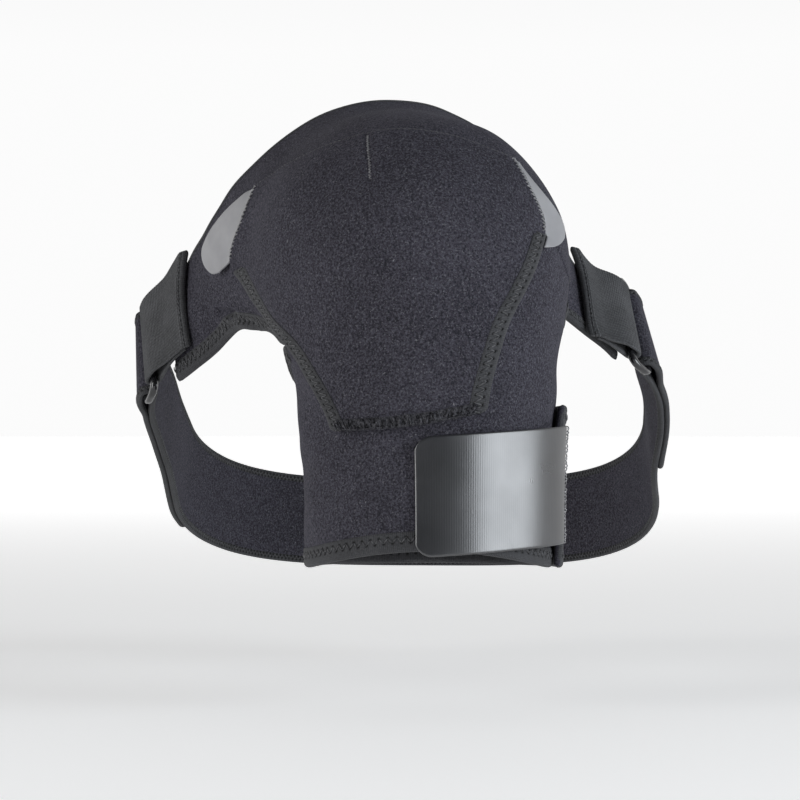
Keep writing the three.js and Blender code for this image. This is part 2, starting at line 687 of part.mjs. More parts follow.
// A woven or cloth band of even thickness whose middle follows stations along the line and above it
function ribbon(stations, thickness, from, to, columns) {
  const rows = stations.map((station, i) => {
    const before = stations[Math.max(0, i - 1)];
    const after = stations[Math.min(stations.length - 1, i + 1)];
    const slant = station.slant ?? 0;
    const size = Math.hypot(after.s - before.s, after.d - before.d);
    const sideS = (-(after.d - before.d) / size) * (thickness / 2);
    const sideD = ((after.s - before.s) / size) * (thickness / 2);
    return [...Array(columns).keys()].map((j) => {
      const across = from(station) + ((to(station) - from(station)) * j) / (columns - 1);
      return {
        top: place(station.s + sideS + slant * across, across, station.d + sideD),
        under: place(station.s - sideS + slant * across, across, station.d - sideD),
      };
    });
  });
  return slab(rows);
}

// Stations of a half turn round a bar, from the body's side outwards; way is 1 or -1 along the line
function halfTurn(s, radius, way) {
  const steps = 6;
  return [...Array(steps + 1).keys()].map((k) => {
    const angle = -Math.PI / 2 + (Math.PI * k) / steps;
    return { s: s + way * radius * Math.cos(angle), d: RING_LEVEL + radius * Math.sin(angle) };
  });
}

// How far a folded layer still stands at its ring's level, at a distance from the bar
const lifted = (distance) => smooth(1 - Math.max(0, distance - RING_ROD) / LEG_BLEND);

// Elastic band from its sewn edge, folded through a ring's bar; way is the line's direction there
function makeBand(name, sewn, bar, way, edgeSlant) {
  const radius = BEND_RADIUS + BAND_THICKNESS / 2;
  const low = RING_LEVEL - radius;
  const steps = 9;
  const inner = [];
  const outer = [];
  for (let k = 0; k <= steps; k += 1) {
    const s = sewn + ((bar - way * RING_ROD - sewn) * k) / steps;
    const rest = low + BAND_THICKNESS + GAP;
    const slant = edgeSlant * (1 - k / steps);
    inner.push({ s, d: low, slant });
    outer.unshift({ s, d: rest + (RING_LEVEL + radius - rest) * lifted(Math.abs(bar - s)), slant });
  }
  const stations = [...inner, ...halfTurn(bar, radius, way), ...outer];
  const half = BAND_WIDTH / 2;
  add(name, ribbon(stations, BAND_THICKNESS, always(-half), always(half), 5), BAND_COLOUR, 0.9);
}

// Rectangular ring with round corners, its two long bars across the line
function makeRing(name, bar, way) {
  const middle = bar + (way * RING_BAR_SPACING) / 2;
  const halfLong = Math.max(BAND_WIDTH, STRAP_WIDTH) / 2 + RING_SIDE_CLEARANCE + RING_ROD / 2;
  const halfShort = RING_BAR_SPACING / 2;
  const corner = 4;
  const cornerSteps = 3;
  const sides = 8;
  const rod = RING_ROD / 2;
  const position = [];
  const rings = [];
  [[1, 1], [-1, 1], [-1, -1], [1, -1]].forEach(([a, b], quarter) => {
    for (let k = 0; k <= cornerSteps; k += 1) {
      const angle = (Math.PI / 2) * (quarter + k / cornerSteps);
      rings.push({ angle, s: a * (halfShort - corner), w: b * (halfLong - corner) });
    }
  });
  rings.forEach(({ angle, s, w }) => {
    for (let k = 0; k < sides; k += 1) {
      const turn = (2 * Math.PI * k) / sides;
      const out = corner + rod * Math.cos(turn);
      const along = middle + s + out * Math.cos(angle);
      const across = w + out * Math.sin(angle);
      position.push(...place(along, across, RING_LEVEL + rod * Math.sin(turn)).toArray());
    }
  });
  const index = [];
  const at = (i, k) => (i % rings.length) * sides + (k % sides);
  for (let i = 0; i < rings.length; i += 1) {
    for (let k = 0; k < sides; k += 1) {
      index.push(at(i, k), at(i + 1, k), at(i + 1, k + 1), at(i, k), at(i + 1, k + 1), at(i, k + 1));
    }
  }
  add(name, outward(position, index), RING_COLOUR, 0.2);
}

// Chest strap: a tail folded back behind, the loop round the chest and a tail folded back in front
function makeStrap(backBar, frontBar) {
  const radius = BEND_RADIUS + STRAP_THICKNESS / 2;
  const low = RING_LEVEL - radius;
  const tail = (bar, way, length, steps) => {
    const stations = [];
    const rest = low + STRAP_THICKNESS + GAP;
    for (let k = steps; k >= 0; k -= 1) {
      const along = RING_ROD + ((length - RING_ROD) * k) / steps;
      const d = rest + (RING_LEVEL + radius - rest) * lifted(along);
      stations.push({ s: bar + way * along, d, end: length - along });
    }
    return stations;
  };
  const main = [];
  const mainSteps = 46;
  for (let k = 1; k < mainSteps; k += 1) {
    main.push({ s: backBar + ((frontBar - backBar) * k) / mainSteps, d: low });
  }
  const stations = [
    ...tail(backBar, 1, BACK_TAIL, 14),
    ...halfTurn(backBar, radius, -1).reverse(),
    ...main,
    ...halfTurn(frontBar, radius, 1),
    ...tail(frontBar, -1, FRONT_TAIL, 11).reverse(),
  ];
  const half = ({ end = STRAP_CORNER }) => cornered(STRAP_WIDTH / 2, STRAP_CORNER, end);
  const core = (station) => half(station) - STRAP_TAPE_WIDTH - GAP;
  const taped = (station) => half(station) - STRAP_TAPE_WIDTH;
  const thick = STRAP_THICKNESS;
  addCloth("chest_strap", ribbon(stations, thick, (p) => -core(p), core, 3));
  addTape("strap_binding_upper", ribbon(stations, thick, taped, half, 2));
  addTape("strap_binding_lower", ribbon(stations, thick, (p) => -half(p), (p) => -taped(p), 2));
}

const frontRingAt = lineLength - BAND_FRONT.ring;
makeBand("band_back", BAND_BACK.sewn, BAND_BACK.ring, 1, BAND_BACK.slant);
makeBand("band_front", lineLength - BAND_FRONT.sewn, frontRingAt, -1, BAND_FRONT.slant);
makeRing("ring_back", BAND_BACK.ring, 1);
makeRing("ring_front", frontRingAt, -1);
makeStrap(BAND_BACK.ring + RING_BAR_SPACING, frontRingAt - RING_BAR_SPACING);

// The seat: the body's point above the upper arm's middle
const seat = settle(rise(ARM_AXIS.from[0], 0.2, 1.3));
group.position.copy(seat).negate();

export default group;
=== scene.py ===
"""A shoulder brace of plush-faced foam cloth in its worn form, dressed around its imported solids.

Shapes are worked out in millimetres in the body's own frame: +X the wearer's front, +Y from the right
arm across the body, +Z up. They are put into the scene in metres, with the seat at the origin.
"""

import math

import bpy
import numpy as np
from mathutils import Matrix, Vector


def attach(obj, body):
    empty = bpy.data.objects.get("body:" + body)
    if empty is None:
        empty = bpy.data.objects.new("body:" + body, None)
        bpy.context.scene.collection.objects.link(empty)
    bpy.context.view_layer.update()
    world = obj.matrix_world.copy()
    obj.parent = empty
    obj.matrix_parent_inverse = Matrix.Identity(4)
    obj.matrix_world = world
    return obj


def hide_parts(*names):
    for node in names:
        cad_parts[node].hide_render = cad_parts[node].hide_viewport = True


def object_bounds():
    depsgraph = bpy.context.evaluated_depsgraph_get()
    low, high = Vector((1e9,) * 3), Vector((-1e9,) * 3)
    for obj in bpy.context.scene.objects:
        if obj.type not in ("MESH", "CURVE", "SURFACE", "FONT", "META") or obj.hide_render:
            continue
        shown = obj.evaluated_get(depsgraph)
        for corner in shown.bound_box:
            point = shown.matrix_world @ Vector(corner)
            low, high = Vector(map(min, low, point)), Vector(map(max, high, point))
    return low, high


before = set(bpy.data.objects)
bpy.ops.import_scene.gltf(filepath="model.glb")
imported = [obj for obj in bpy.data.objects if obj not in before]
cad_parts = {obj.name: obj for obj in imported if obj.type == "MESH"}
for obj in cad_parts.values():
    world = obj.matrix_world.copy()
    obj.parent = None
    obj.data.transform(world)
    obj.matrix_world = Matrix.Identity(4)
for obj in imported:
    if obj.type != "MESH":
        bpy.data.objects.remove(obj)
CAD_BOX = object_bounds()

# Sizes of the body that the brace is cut for
RISE = 100.0
ARM_WIDTH = 104.0
CHEST_DEPTH = 236.0
CHEST_WIDTH = 252.0

# Thicknesses and clearances
SKIN_GAP = 0.8
CLOTH = 3.0
PANEL_CLOTH = 2.8
TAPE_RISE = 0.6
FLAP_THICKNESS = 1.2
TAB_THICKNESS = 1.3
BAND_THICKNESS = 2.0
STRAP_THICKNESS = 2.6
GAP = 0.3
LAYER_GAP = 0.6

# Widths and lengths
TAPE_WIDTH = 9.0
NECK_TAPE_WIDTH = 3.4
SLEEVE_DROP = 76.0
HEM_ARCH = 9.0
PANEL_BAND_WIDTH = 8.0
FLAP_WIDTHS = {1: 24.5, -1: 13.0}  # at the panel's back edge and front edge
TAB_LENGTH = 84.0
TAB_HEIGHT = 53.0
TAB_LAP = 7.0
TAB_CORNER = 7.0
TAB_SEWN = -4.5  # the tab's edge lies this far inside the sleeve's free end
TAB_TILT = 2.4  # how far the tab's sewn end stands above its middle
BAND_WIDTH = 44.0
STRAP_WIDTH = 48.0
STRAP_TAPE_WIDTH = 4.0
STRAP_CORNER = 10.0
BACK_TAIL = 156.0
FRONT_TAIL = 84.0
RING_ROD = 3.6
RING_BAR_SPACING = 10.6
RING_SIDE_CLEARANCE = 1.5
LEG_BLEND = 16.0

# Levels above the body
BASE_TOP = SKIN_GAP + CLOTH
BASE_TAPE_TOP = BASE_TOP + TAPE_RISE
PANEL_FLOOR = BASE_TOP + LAYER_GAP
PANEL_TOP = PANEL_FLOOR + PANEL_CLOTH
BAND_FLOOR = BASE_TAPE_TOP + LAYER_GAP
BEND_RADIUS = RING_ROD / 2 + GAP
RING_LEVEL = BAND_FLOOR + BAND_THICKNESS + BEND_RADIUS

# Rounded masses of the body: middle and half sizes, shares of the rise
MASSES = [
    [(0.09, 0.04, 0.58), (0.62, 0.55, 0.66)],
    [(0.43, 1.28, -0.18), (0.79, 0.72, 0.97)],
    [(-0.42, 1.24, 0.15), (0.75, 0.74, 0.95)],
    [(-0.08, 0.84, 0.66), (0.81, 0.86, 0.66)],
]
NECK_SLOPE = {"from": (-0.04, 0.2, 0.76), "to": (-0.12, 1.5, 1.08), "r0": 0.42, "r1": 0.56}
ARM_AXIS = {"from": (0.12, 0.02, 0.6), "to": (0.14, -0.44, -2.6)}
ARM_TAPER = {"top": 1.096, "bottom": 0.865}
CHEST = {"x": 0.08, "near": 0.74, "z": -0.7, "rz": 2.1}
MASS_BLEND = 0.11
LIMB_BLEND = 0.05

# The yoke's ribs from the back wing to the front one: neck edge, crown and arm edge
YOKE_RIBS = np.array([
    [-1.03, 0.88, 0.62, -1.09, 0.84, 0.34, -1.13, 0.78, 0.08],
    [-0.99, 0.75, 0.76, -1.06, 0.69, 0.43, -1.05, 0.63, 0.14],
    [-0.94, 0.62, 0.89, -1.0, 0.55, 0.54, -0.95, 0.5, 0.21],
    [-0.83, 0.55, 1.02, -0.92, 0.42, 0.65, -0.82, 0.38, 0.3],
    [-0.69, 0.51, 1.16, -0.78, 0.3, 0.75, -0.7, 0.26, 0.31],
    [-0.51, 0.5, 1.28, -0.6, 0.08, 0.82, -0.56, -0.06, 0.24],
    [-0.29, 0.51, 1.34, -0.38, -0.18, 0.95, -0.36, -0.4, 0.31],
    [-0.08, 0.53, 1.38, -0.12, -0.28, 1.05, -0.05, -0.53, 0.44],
    [0.14, 0.56, 1.36, 0.14, -0.3, 1.08, 0.24, -0.53, 0.56],
    [0.32, 0.62, 1.32, 0.36, -0.24, 1.08, 0.44, -0.47, 0.66],
    [0.46, 0.63, 1.2, 0.52, -0.1, 1.04, 0.58, -0.4, 0.74],
    [0.57, 0.66, 1.07, 0.63, 0.06, 0.92, 0.67, -0.3, 0.76],
    [0.68, 0.7, 0.94, 0.73, 0.26, 0.78, 0.81, 0.04, 0.51],
    [0.78, 0.76, 0.83, 0.82, 0.52, 0.68, 0.88, 0.5, 0.46],
    [0.85, 0.82, 0.78, 0.91, 0.68, 0.59, 0.97, 0.64, 0.39],
    [0.9, 0.89, 0.73, 0.98, 0.8, 0.5, 1.05, 0.75, 0.3],
    [0.95, 0.97, 0.68, 1.03, 0.92, 0.41, 1.1, 0.85, 0.21],
])
SEAM_RIBS = (5, 12)
RIB_STATION = 1 / 48

# The sleeve's turn: angle, height of the top edge or the rib that it is sewn to, and its lap
SLEEVE_TURN = [
    (118, 0.04, None, 0), (104, 0.3, None, 0), (88, None, 12, 0), (72, None, 11, 0), (58, None, 10, 0),
    (36, None, 9, 0), (14, None, 8, 0), (-16, None, 7, 0), (-48, None, 6, 0), (-84, None, 5, 0),
    (-118, 0.14, None, 0), (-150, 0.02, None, 0), (-180, -0.04, None, 0.05), (-208, -0.04, None, 0.5),
    (-234, -0.03, None, 1), (-258, -0.02, None, 1), (-281, -0.02, None, 1),
]

# The outer panel seen from the arm's outer side: back x, z, front x, z, and the row's bow
PANEL_ROWS = np.array([
    [-0.67, 1.03, 0.52, 1.12, 0.17],
    [-0.755, 0.84, 0.6, 0.96, 0.14],
    [-0.815, 0.65, 0.67, 0.8, 0.09],
    [-0.735, 0.52, 0.64, 0.66, 0.05],
    [-0.645, 0.39, 0.57, 0.5, 0.02],
    [-0.525, 0.25, 0.5, 0.35, 0],
    [-0.43, 0.11, 0.45, 0.21, -0.01],
    [-0.36, -0.02, 0.41, 0.07, -0.02],
    [-0.31, -0.14, 0.39, -0.05, -0.02],
])
PANEL_TAPED_FROM = 0.293
FLAP_SPANS = {1: (0.02, 0.285), -1: (0.02, 0.35)}

# The strap's line over the wings, and the loop under the other armpit
BACK_RUN = [(-1.06, 0.66, 0.54), (-1.11, 0.82, 0.41), (-1.15, 0.99, 0.26)]
FRONT_RUN = [(1.05, 0.98, 0.34), (0.99, 0.88, 0.46), (0.93, 0.78, 0.59)]
LOOP_LOW = -0.68
BAND_BACK = {"sewn": 7.2, "ring": 43.0, "slant": -0.41}
BAND_FRONT = {"sewn": 5.5, "ring": 35.0, "slant": 0.5}
BAND_TUCK = ((1.0, 0.93), (1.9, 0.6), (2.7, 0.25), (3.4, 0.1))  # along, and down from the outer layer


def rise(points):
    return np.array(points, float) * RISE


def smooth(x):
    t = np.clip(x, 0, 1)
    return t * t * (3 - 2 * t)


def unit(v):
    return v / np.maximum(np.linalg.norm(v, axis=-1, keepdims=True), 1e-12)


def run_along(line):
    """How far along a line each of its points is."""
    return np.concatenate([[0], np.cumsum(np.linalg.norm(np.diff(line, axis=0), axis=1))])


def at_runs(line, run, wanted):
    return np.stack([np.interp(wanted, run, line[:, k]) for k in range(line.shape[1])], -1)


def spread_out(border, inner, columns):
    """Shares from -1 to 1: even ones inside, and the given ones close to both ends."""
    border = np.array(border)
    return np.concatenate([-border, np.linspace(-inner, inner, columns), border[::-1]])


def joined(u, v):
    return np.stack(np.broadcast_arrays(u, v), -1)


def pinned(soft):
    """A share of a thickness that falls to nothing at the grid's border."""
    soft[:, 0] = soft[:, -1] = 0
    soft[0] = soft[-1] = 0
    return soft


# The body's form

ARM_TOP = rise(ARM_AXIS["from"])
ARM_END = rise(ARM_AXIS["to"])
CHEST_MIDDLE = np.array([CHEST["x"] * RISE, CHEST["near"] * RISE + CHEST_WIDTH / 2, CHEST["z"] * RISE])
CHEST_HALF = np.array([CHEST_DEPTH / 2, CHEST_WIDTH / 2, CHEST["rz"] * RISE])


def mass_distance(p, middle, half):
    q = (p - middle) / half
    reach = np.sqrt((q * q).sum(-1))
    steep = np.sqrt(((q / half) ** 2).sum(-1))
    return reach * (reach - 1) / np.maximum(steep, 1e-9)


def limb_distance(p, a, b, r0, r1):
    span = b - a
    t = np.clip((p - a) @ span / (span @ span), 0, 1)
    return np.linalg.norm(p - a - t[..., None] * span, axis=-1) - (r0 + (r1 - r0) * t)


def blended(distances, width):
    stack = np.stack(distances)
    least = stack.min(0)
    return least - width * np.log(np.exp((least - stack) / width).sum(0))


def outside(p):
    """How far a point is outside the body."""
    upper = [mass_distance(p, rise(at), rise(half)) for at, half in MASSES]
    ends = rise(NECK_SLOPE["from"]), rise(NECK_SLOPE["to"])
    upper.append(limb_distance(p, *ends, NECK_SLOPE["r0"] * RISE, NECK_SLOPE["r1"] * RISE))
    half = ARM_WIDTH / 2
    arm = limb_distance(p, ARM_TOP, ARM_END, ARM_TAPER["top"] * half, ARM_TAPER["bottom"] * half)
    chest = mass_distance(p, CHEST_MIDDLE, CHEST_HALF)
    return blended([blended(upper, MASS_BLEND * RISE), arm, chest], LIMB_BLEND * RISE)


PROBES = np.array([[0, 0, 0], [1, 0, 0], [-1, 0, 0], [0, 1, 0], [0, -1, 0], [0, 0, 1], [0, 0, -1]]) * 0.5


def measured(p):
    """The distance outside the body and its slope."""
    values = outside(p[None] + PROBES.reshape((7,) + (1,) * (p.ndim - 1) + (3,)))
    return values[0], np.stack([values[1] - values[2], values[3] - values[4], values[5] - values[6]], -1)


def settle(p, level=0.0, steps=4):
    q = np.array(p, float)
    for _ in range(steps):
        distance, slope = measured(q)
        q = q + slope * ((level - distance) / (slope * slope).sum(-1))[..., None]
    return q


def body_normal(p):
    return unit(measured(p)[1])


def lay_on(x, z, level):
    q = np.stack([x, np.full_like(x, -1.2 * RISE), z], -1)
    for _ in range(60):
        q[..., 1] += 0.85 * np.clip(outside(q) - level, -10, 30)
    return settle(q, steps=8)


def between(values, share):
    """Smooth values between the rows of a list, at shares of its length."""
    values = np.asarray(values, float)
    last = len(values) - 1
    at = np.clip(np.asarray(share, float), 0, 1) * last
    i = np.minimum(last - 1, np.floor(at)).astype(int)
    u = at - i
    padded = np.concatenate([[2 * values[0] - values[1]], values, [2 * values[-1] - values[-2]]])
    a, b, c, d = padded[i], padded[i + 1], padded[i + 2], padded[i + 3]
    if values.ndim > 1:
        u = u[..., None]
    return 0.5 * (2 * b + (c - a) * u + (2 * a - 5 * b + 4 * c - d) * u**2 + (3 * b - a - 3 * c + d) * u**3)


# Sheets: each gives its ribs at shares of its length

RIB_STEPS = 24
RIB_SHARES = np.arange(RIB_STEPS + 1) / RIB_STEPS


def arch(a, b, c, u):
    u = u[None, :, None]
    a, b, c = a[:, None], b[:, None], c[:, None]
    return a * (2 * (u - 0.5) * (u - 1)) + b * (-4 * u * (u - 1)) + c * (2 * u * (u - 0.5))


def yoke_points(share):
    row = between(YOKE_RIBS, share) * RISE
    return row[..., 0:3], row[..., 3:6], row[..., 6:9]


def yoke_ribs(share):
    return settle(arch(*yoke_points(share), RIB_SHARES), steps=10)


def around_arm(angle, height, radius):
    angle, height = np.broadcast_arrays(np.asarray(angle, float), np.asarray(height, float))
    t = (ARM_TOP[2] - height) / (ARM_TOP[2] - ARM_END[2])
    middle = ARM_TOP + (ARM_END - ARM_TOP) * t[..., None]
    turn = np.radians(angle)
    x, y = middle[..., 0] + radius * np.sin(turn), middle[..., 1] - radius * np.cos(turn)
    return np.stack([x, y, height], -1)


LAST_RIB = len(YOKE_RIBS) - 1
SLEEVE_TOPS = np.array([
    around_arm(angle, top * RISE, ARM_WIDTH / 2) if rib is None
    else yoke_points(np.array(rib / LAST_RIB))[2]
    for angle, top, rib, _ in SLEEVE_TURN
])
SLEEVE_ANGLES = [row[0] for row in SLEEVE_TURN]
SLEEVE_LAPS = [row[3] for row in SLEEVE_TURN]
TURN_LAST = len(SLEEVE_TURN) - 1
SEWN_ROWS = (2, 9)


def sleeve_top(share):
    row = share * TURN_LAST
    sewn = (row >= SEWN_ROWS[0]) & (row <= SEWN_ROWS[1])
    seam = yoke_points((SEAM_RIBS[1] - (row - SEWN_ROWS[0])) / LAST_RIB)[2]
    return np.where(sewn[:, None], seam, between(SLEEVE_TOPS, share))


def sleeve_ribs(share):
    angle = between(SLEEVE_ANGLES, share)
    top = sleeve_top(share)
    lateral = np.maximum(0, np.cos(np.radians(angle)))
    hem = around_arm(angle, -SLEEVE_DROP + HEM_ARCH * lateral**2, ARM_WIDTH / 2)
    axis = around_arm(0, (hem[:, 2] + top[:, 2]) / 2, 0)
    out = (hem + top) / 2 - axis
    out[:, 2] = 0
    return settle(arch(hem, axis + unit(out) * 0.55 * ARM_WIDTH, top, RIB_SHARES), steps=10)


def sleeve_lift(share):
    return smooth(between(SLEEVE_LAPS, share)) * (CLOTH + 2 * TAPE_RISE + LAYER_GAP)


def panel_ribs(share):
    back_x, back_z, front_x, front_z, bow = (between(PANEL_ROWS, share) * RISE).T[:, :, None]
    u = RIB_SHARES[None]
    x = back_x * (1 - u) + front_x * u
    z = back_z * (1 - u) + front_z * u + 4 * bow * u * (1 - u)
    return lay_on(x, z, PANEL_TOP)


# Relief: the folds and swells that the cloth takes over the body, in mm out of it

# Creases: a chain of points near the body, depth and half width
CREASES = [
    ([(-86, 48, 42.5), (-81, 44, 42), (-76, 38, 40.8), (-70.5, 30, 37.5), (-66.6, 24, 35.5)], 1.9, 1.7),
    ([(-79, 42, 42), (-74, 36, 45)], 0.9, 1.7),
    ([(70, 22, 74), (79, 30, 60), (82, 33, 50)], 0.7, 1.8),
    ([(-46, -22, 5), (-30, -40, -12)], 0.7, 7.0),
    ([(58, -14, -8), (46, -38, -24)], 0.7, 8.0),
    ([(-44, 0, -30), (-28, -48, -38), (0, -58, -36)], 0.5, 5.0),
]
SWELLS = [
    ((0.052, 0.021, 0.033), 0.4, 0.35),
    ((-0.031, 0.047, 0.058), 1.9, 0.3),
    ((0.093, 0.06, -0.041), 4.1, 0.16),
    ((0.02, -0.088, 0.117), 2.7, 0.14),
]


def chain_distance(p, chain):
    best = np.full(p.shape[:-1], 1e9)
    chain = np.array(chain, float)
    for a, b in zip(chain[:-1], chain[1:]):
        t = np.clip((p - a) @ (b - a) / ((b - a) @ (b - a)), 0, 1)
        best = np.minimum(best, np.linalg.norm(p - a - t[..., None] * (b - a), axis=-1))
    return best


def relief(p):
    total = np.zeros(p.shape[:-1])
    for chain, depth, half in CREASES:
        d = chain_distance(p, settle(np.array(chain, float), steps=8)) / half
        total += depth * (0.45 * np.exp(-((d - 1.9) ** 2)) - np.exp(-d * d))
    for wave, phase, size in SWELLS:
        total += size * np.sin(2 * np.pi * (p @ np.array(wave)) * 0.35 + phase)
    return total


# Cuts: a stretch of a sheet as a fine grid of points, normals and relief


def eased(length, pitch, corner):
    """Distances from 0 to length, close together within corner of both ends."""
    steps = np.array([0, 0.07, 0.25, 0.55]) * corner
    count = max(2, int(round((length - 2 * corner) / pitch)) + 1)
    middle = np.linspace(corner, length - corner, count)
    return np.concatenate([steps, middle, length - steps[::-1]])


def rounded(distance, corner):
    t = np.clip(distance / corner, 0, 1)
    return np.sqrt(np.maximum(0, 1 - (1 - t) ** 2))


class Cut:
    def __init__(self, ribs, shares, distances):
        """distances takes the ribs' lengths and gives a row of distances for each."""
        lines = ribs(shares)
        steps = np.linalg.norm(np.diff(lines, axis=1), axis=-1)
        runs = np.concatenate([np.zeros((len(lines), 1)), np.cumsum(steps, 1)], 1)
        self.shares = shares
        self.length = runs[:, -1]
        self.distance = distances(self.length)
        rows = []
        for line, run, wanted in zip(lines, runs, self.distance):
            before = (wanted < 0)[:, None] * wanted[:, None] * unit(line[1] - line[0])
            after = np.maximum(0, wanted - run[-1])[:, None] * unit(line[-1] - line[-2])
            rows.append(at_runs(line, run, wanted) + (before + after))
        self.lay(np.array(rows))

    def lay(self, points):
        self.point = settle(points)
        self.normal = body_normal(self.point)
        self.relief = relief(self.point)
        along = np.linalg.norm(np.diff(self.point, axis=0), axis=-1)
        self.along = np.concatenate([np.zeros((1, along.shape[1])), np.cumsum(along, 0)], 0)

    def at(self, level):
        return self.point + self.normal * (level + self.relief)[..., None]

    def uv(self):
        return joined(self.along[:, self.along.shape[1] // 2, None], self.distance)


def shares_by_length(ribs, start, end, pitch, where, corner=0.0):
    """Shares from start to end, a pitch apart along the sheet at a share of its ribs."""
    probe = np.linspace(start, end, 60)
    line = ribs(probe)[:, int(round(where * RIB_STEPS))]
    run = run_along(line)
    wanted = eased(run[-1], pitch, corner) if corner else np.linspace(0, run[-1], int(run[-1] / pitch) + 2)
    return np.interp(wanted, run, probe)


# Meshes

RUNNING_FILL = 0.72  # how much of a running stitch's pitch its thread covers
STITCH_SUNK, TIP_SUNK = 0.12, 0.35  # how far a stitch's end sections and its tips are sunk
SEAT = settle(rise((ARM_AXIS["from"][0], 0.2, 1.3)), steps=10)


def mesh_piece(name, points, faces, material, uv=None):
    """A piece of the scene, with its faces turned outward."""
    triangles = np.array([[f[0], f[k], f[k + 1]] for f in faces for k in range(1, len(f) - 1)])
    a, b, c = (points[triangles[:, k]] - points.mean(0) for k in range(3))
    if (a * np.cross(b, c)).sum() < 0:
        faces = [tuple(reversed(f)) for f in faces]
    mesh = bpy.data.meshes.new(name)
    mesh.from_pydata(((points - SEAT) * 0.001).tolist(), [], faces)
    mesh.polygons.foreach_set("use_smooth", [True] * len(mesh.polygons))
    if uv is not None:
        layer = mesh.uv_layers.new(name="UVMap")
        index = np.empty(len(mesh.loops), dtype=np.int32)
        mesh.loops.foreach_get("vertex_index", index)
        layer.data.foreach_set("uv", (uv[index] * 0.001).ravel())
    mesh.materials.append(material)
    piece = bpy.data.objects.new(name, mesh)
    bpy.context.scene.collection.objects.link(piece)
    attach(piece, "root")


def grid_quads(index):
    a, b, c, d = index[:-1, :-1], index[1:, :-1], index[1:, 1:], index[:-1, 1:]
    return np.stack([a, b, c, d], -1).reshape(-1, 4)


def tube_index(count, sides):
    index = np.arange(count * sides).reshape(count, sides)
    return np.concatenate([index, index[:, :1]], 1)


def circle(side, up, sides):
    """Ways round a line, from its two side ways."""
    turns = np.arange(sides) * 2 * np.pi / sides
    return side[:, None] * np.cos(turns)[None, :, None] + up[:, None] * np.sin(turns)[None, :, None]


def shell(name, top, under, material, uv=None):
    """A closed skin of two grids that share their border."""
    rows, columns = top.shape[:2]
    upper = np.arange(rows * columns).reshape(rows, columns)
    lower = upper.copy()
    inner = (rows - 2) * (columns - 2)
    lower[1:-1, 1:-1] = rows * columns + np.arange(inner).reshape(rows - 2, columns - 2)
    points = np.concatenate([top.reshape(-1, 3), under[1:-1, 1:-1].reshape(-1, 3)])
    faces = np.concatenate([grid_quads(upper), grid_quads(lower)[:, ::-1]])
    if uv is not None:
        uv = np.concatenate([uv.reshape(-1, 2), uv[1:-1, 1:-1].reshape(-1, 2)])
    mesh_piece(name, points, faces.tolist(), material, uv)


def sweep(name, rows, material, uv=None, closed=False, corner=2.0):
    """A closed tube through rows of closed sections, with its ends rounded off and capped."""
    count, sides = rows.shape[:2]
    rows = rows.copy()
    if not closed:
        middle = rows.mean(1, keepdims=True)
        run = run_along(middle[:, 0])
        size = rounded(np.minimum(run, run[-1] - run) + 0.12, corner)
        rows = middle + (rows - middle) * size[:, None, None]
    index = tube_index(count, sides)
    if closed:
        index = np.concatenate([index, index[:1]], 0)
    faces = grid_quads(index).tolist()
    points = rows.reshape(-1, 3)
    if uv is not None:
        uv = uv.reshape(-1, 2)
    if not closed:
        points = np.concatenate([points, rows[[0, -1]].mean(1)])
        for middle, border in ((count * sides, index[0]), (count * sides + 1, index[-1])):
            faces += [(middle, a, b) for a, b in zip(border[:-1].tolist(), border[1:].tolist())]
        if uv is not None:
            uv = np.concatenate([uv, uv[[0, -1]]])
    mesh_piece(name, points, faces, material, uv)


def stitches(name, start, end, normal, material, thick, lift):
    """Sewn legs from one point to another, sunk at both ends."""
    sides, count = 6, len(start)
    way = unit(end - start)
    side = unit(np.cross(way, normal))
    around = circle(side, np.cross(side, way), sides)
    sections = ((0.04, -STITCH_SUNK, 0.7), (0.3, lift, 1), (0.7, lift, 1), (0.96, -STITCH_SUNK, 0.7))
    rings = [(start + (end - start) * t + normal * height)[:, None] + thick * size * around
             for t, height, size in sections]
    tips = np.stack([start - normal * TIP_SUNK, end - normal * TIP_SUNK], 1)
    points = np.concatenate([np.stack(rings, 1).reshape(count, -1, 3), tips], 1)
    index = tube_index(len(rings), sides)
    first, last = index[0], index[-1]
    caps = [(4 * sides, first[k], first[k + 1]) for k in range(sides)]
    caps += [(4 * sides + 1, last[k + 1], last[k]) for k in range(sides)]
    shift = (np.arange(count) * points.shape[1])[:, None, None]
    faces = [(np.array(f)[None] + shift).reshape(-1, len(f[0])).tolist() for f in (grid_quads(index), caps)]
    mesh_piece(name, points.reshape(-1, 3), faces[0] + faces[1], material)


def resample(line, count):
    run = run_along(line)
    return at_runs(line, run, np.arange(count) / max(count - 1, 1) * run[-1])


def run_length(line):
    return np.linalg.norm(np.diff(line, axis=0), axis=1).sum()


def zigzag_count(rail, pitch):
    return max(3, int(run_length(rail) / pitch))


def stitch_run(rail, pitch):
    """How far along its stitches each point of a zigzag's rail is."""
    run = run_along(rail)
    return run / run[-1] * (2 * zigzag_count(rail, pitch) - 1) / 2 * pitch


def zigzag(name, rail_a, rail_b, normal, pitch, material, thick, lift, jitter=0.0):
    count = zigzag_count(rail_a, pitch)
    a = resample(rail_a, 2 * count)
    b = resample(rail_b, 2 * count)
    n = unit(resample(normal, 2 * count))
    ends = np.where((np.arange(2 * count) % 2 == 0)[:, None], a, b)
    ends = ends + np.random.default_rng(7).normal(0, jitter, ends.shape)
    stitches(name, ends[:-1], ends[1:], n[:-1], material, thick, lift)


def running(name, rail, normal, pitch, material, thick, lift):
    count = max(3, int(run_length(rail) / pitch))
    p = resample(rail, count)
    n = unit(resample(normal, count))
    stitches(name, p[:-1], p[:-1] + (p[1:] - p[:-1]) * RUNNING_FILL, n[:-1], material, thick, lift)


# Materials


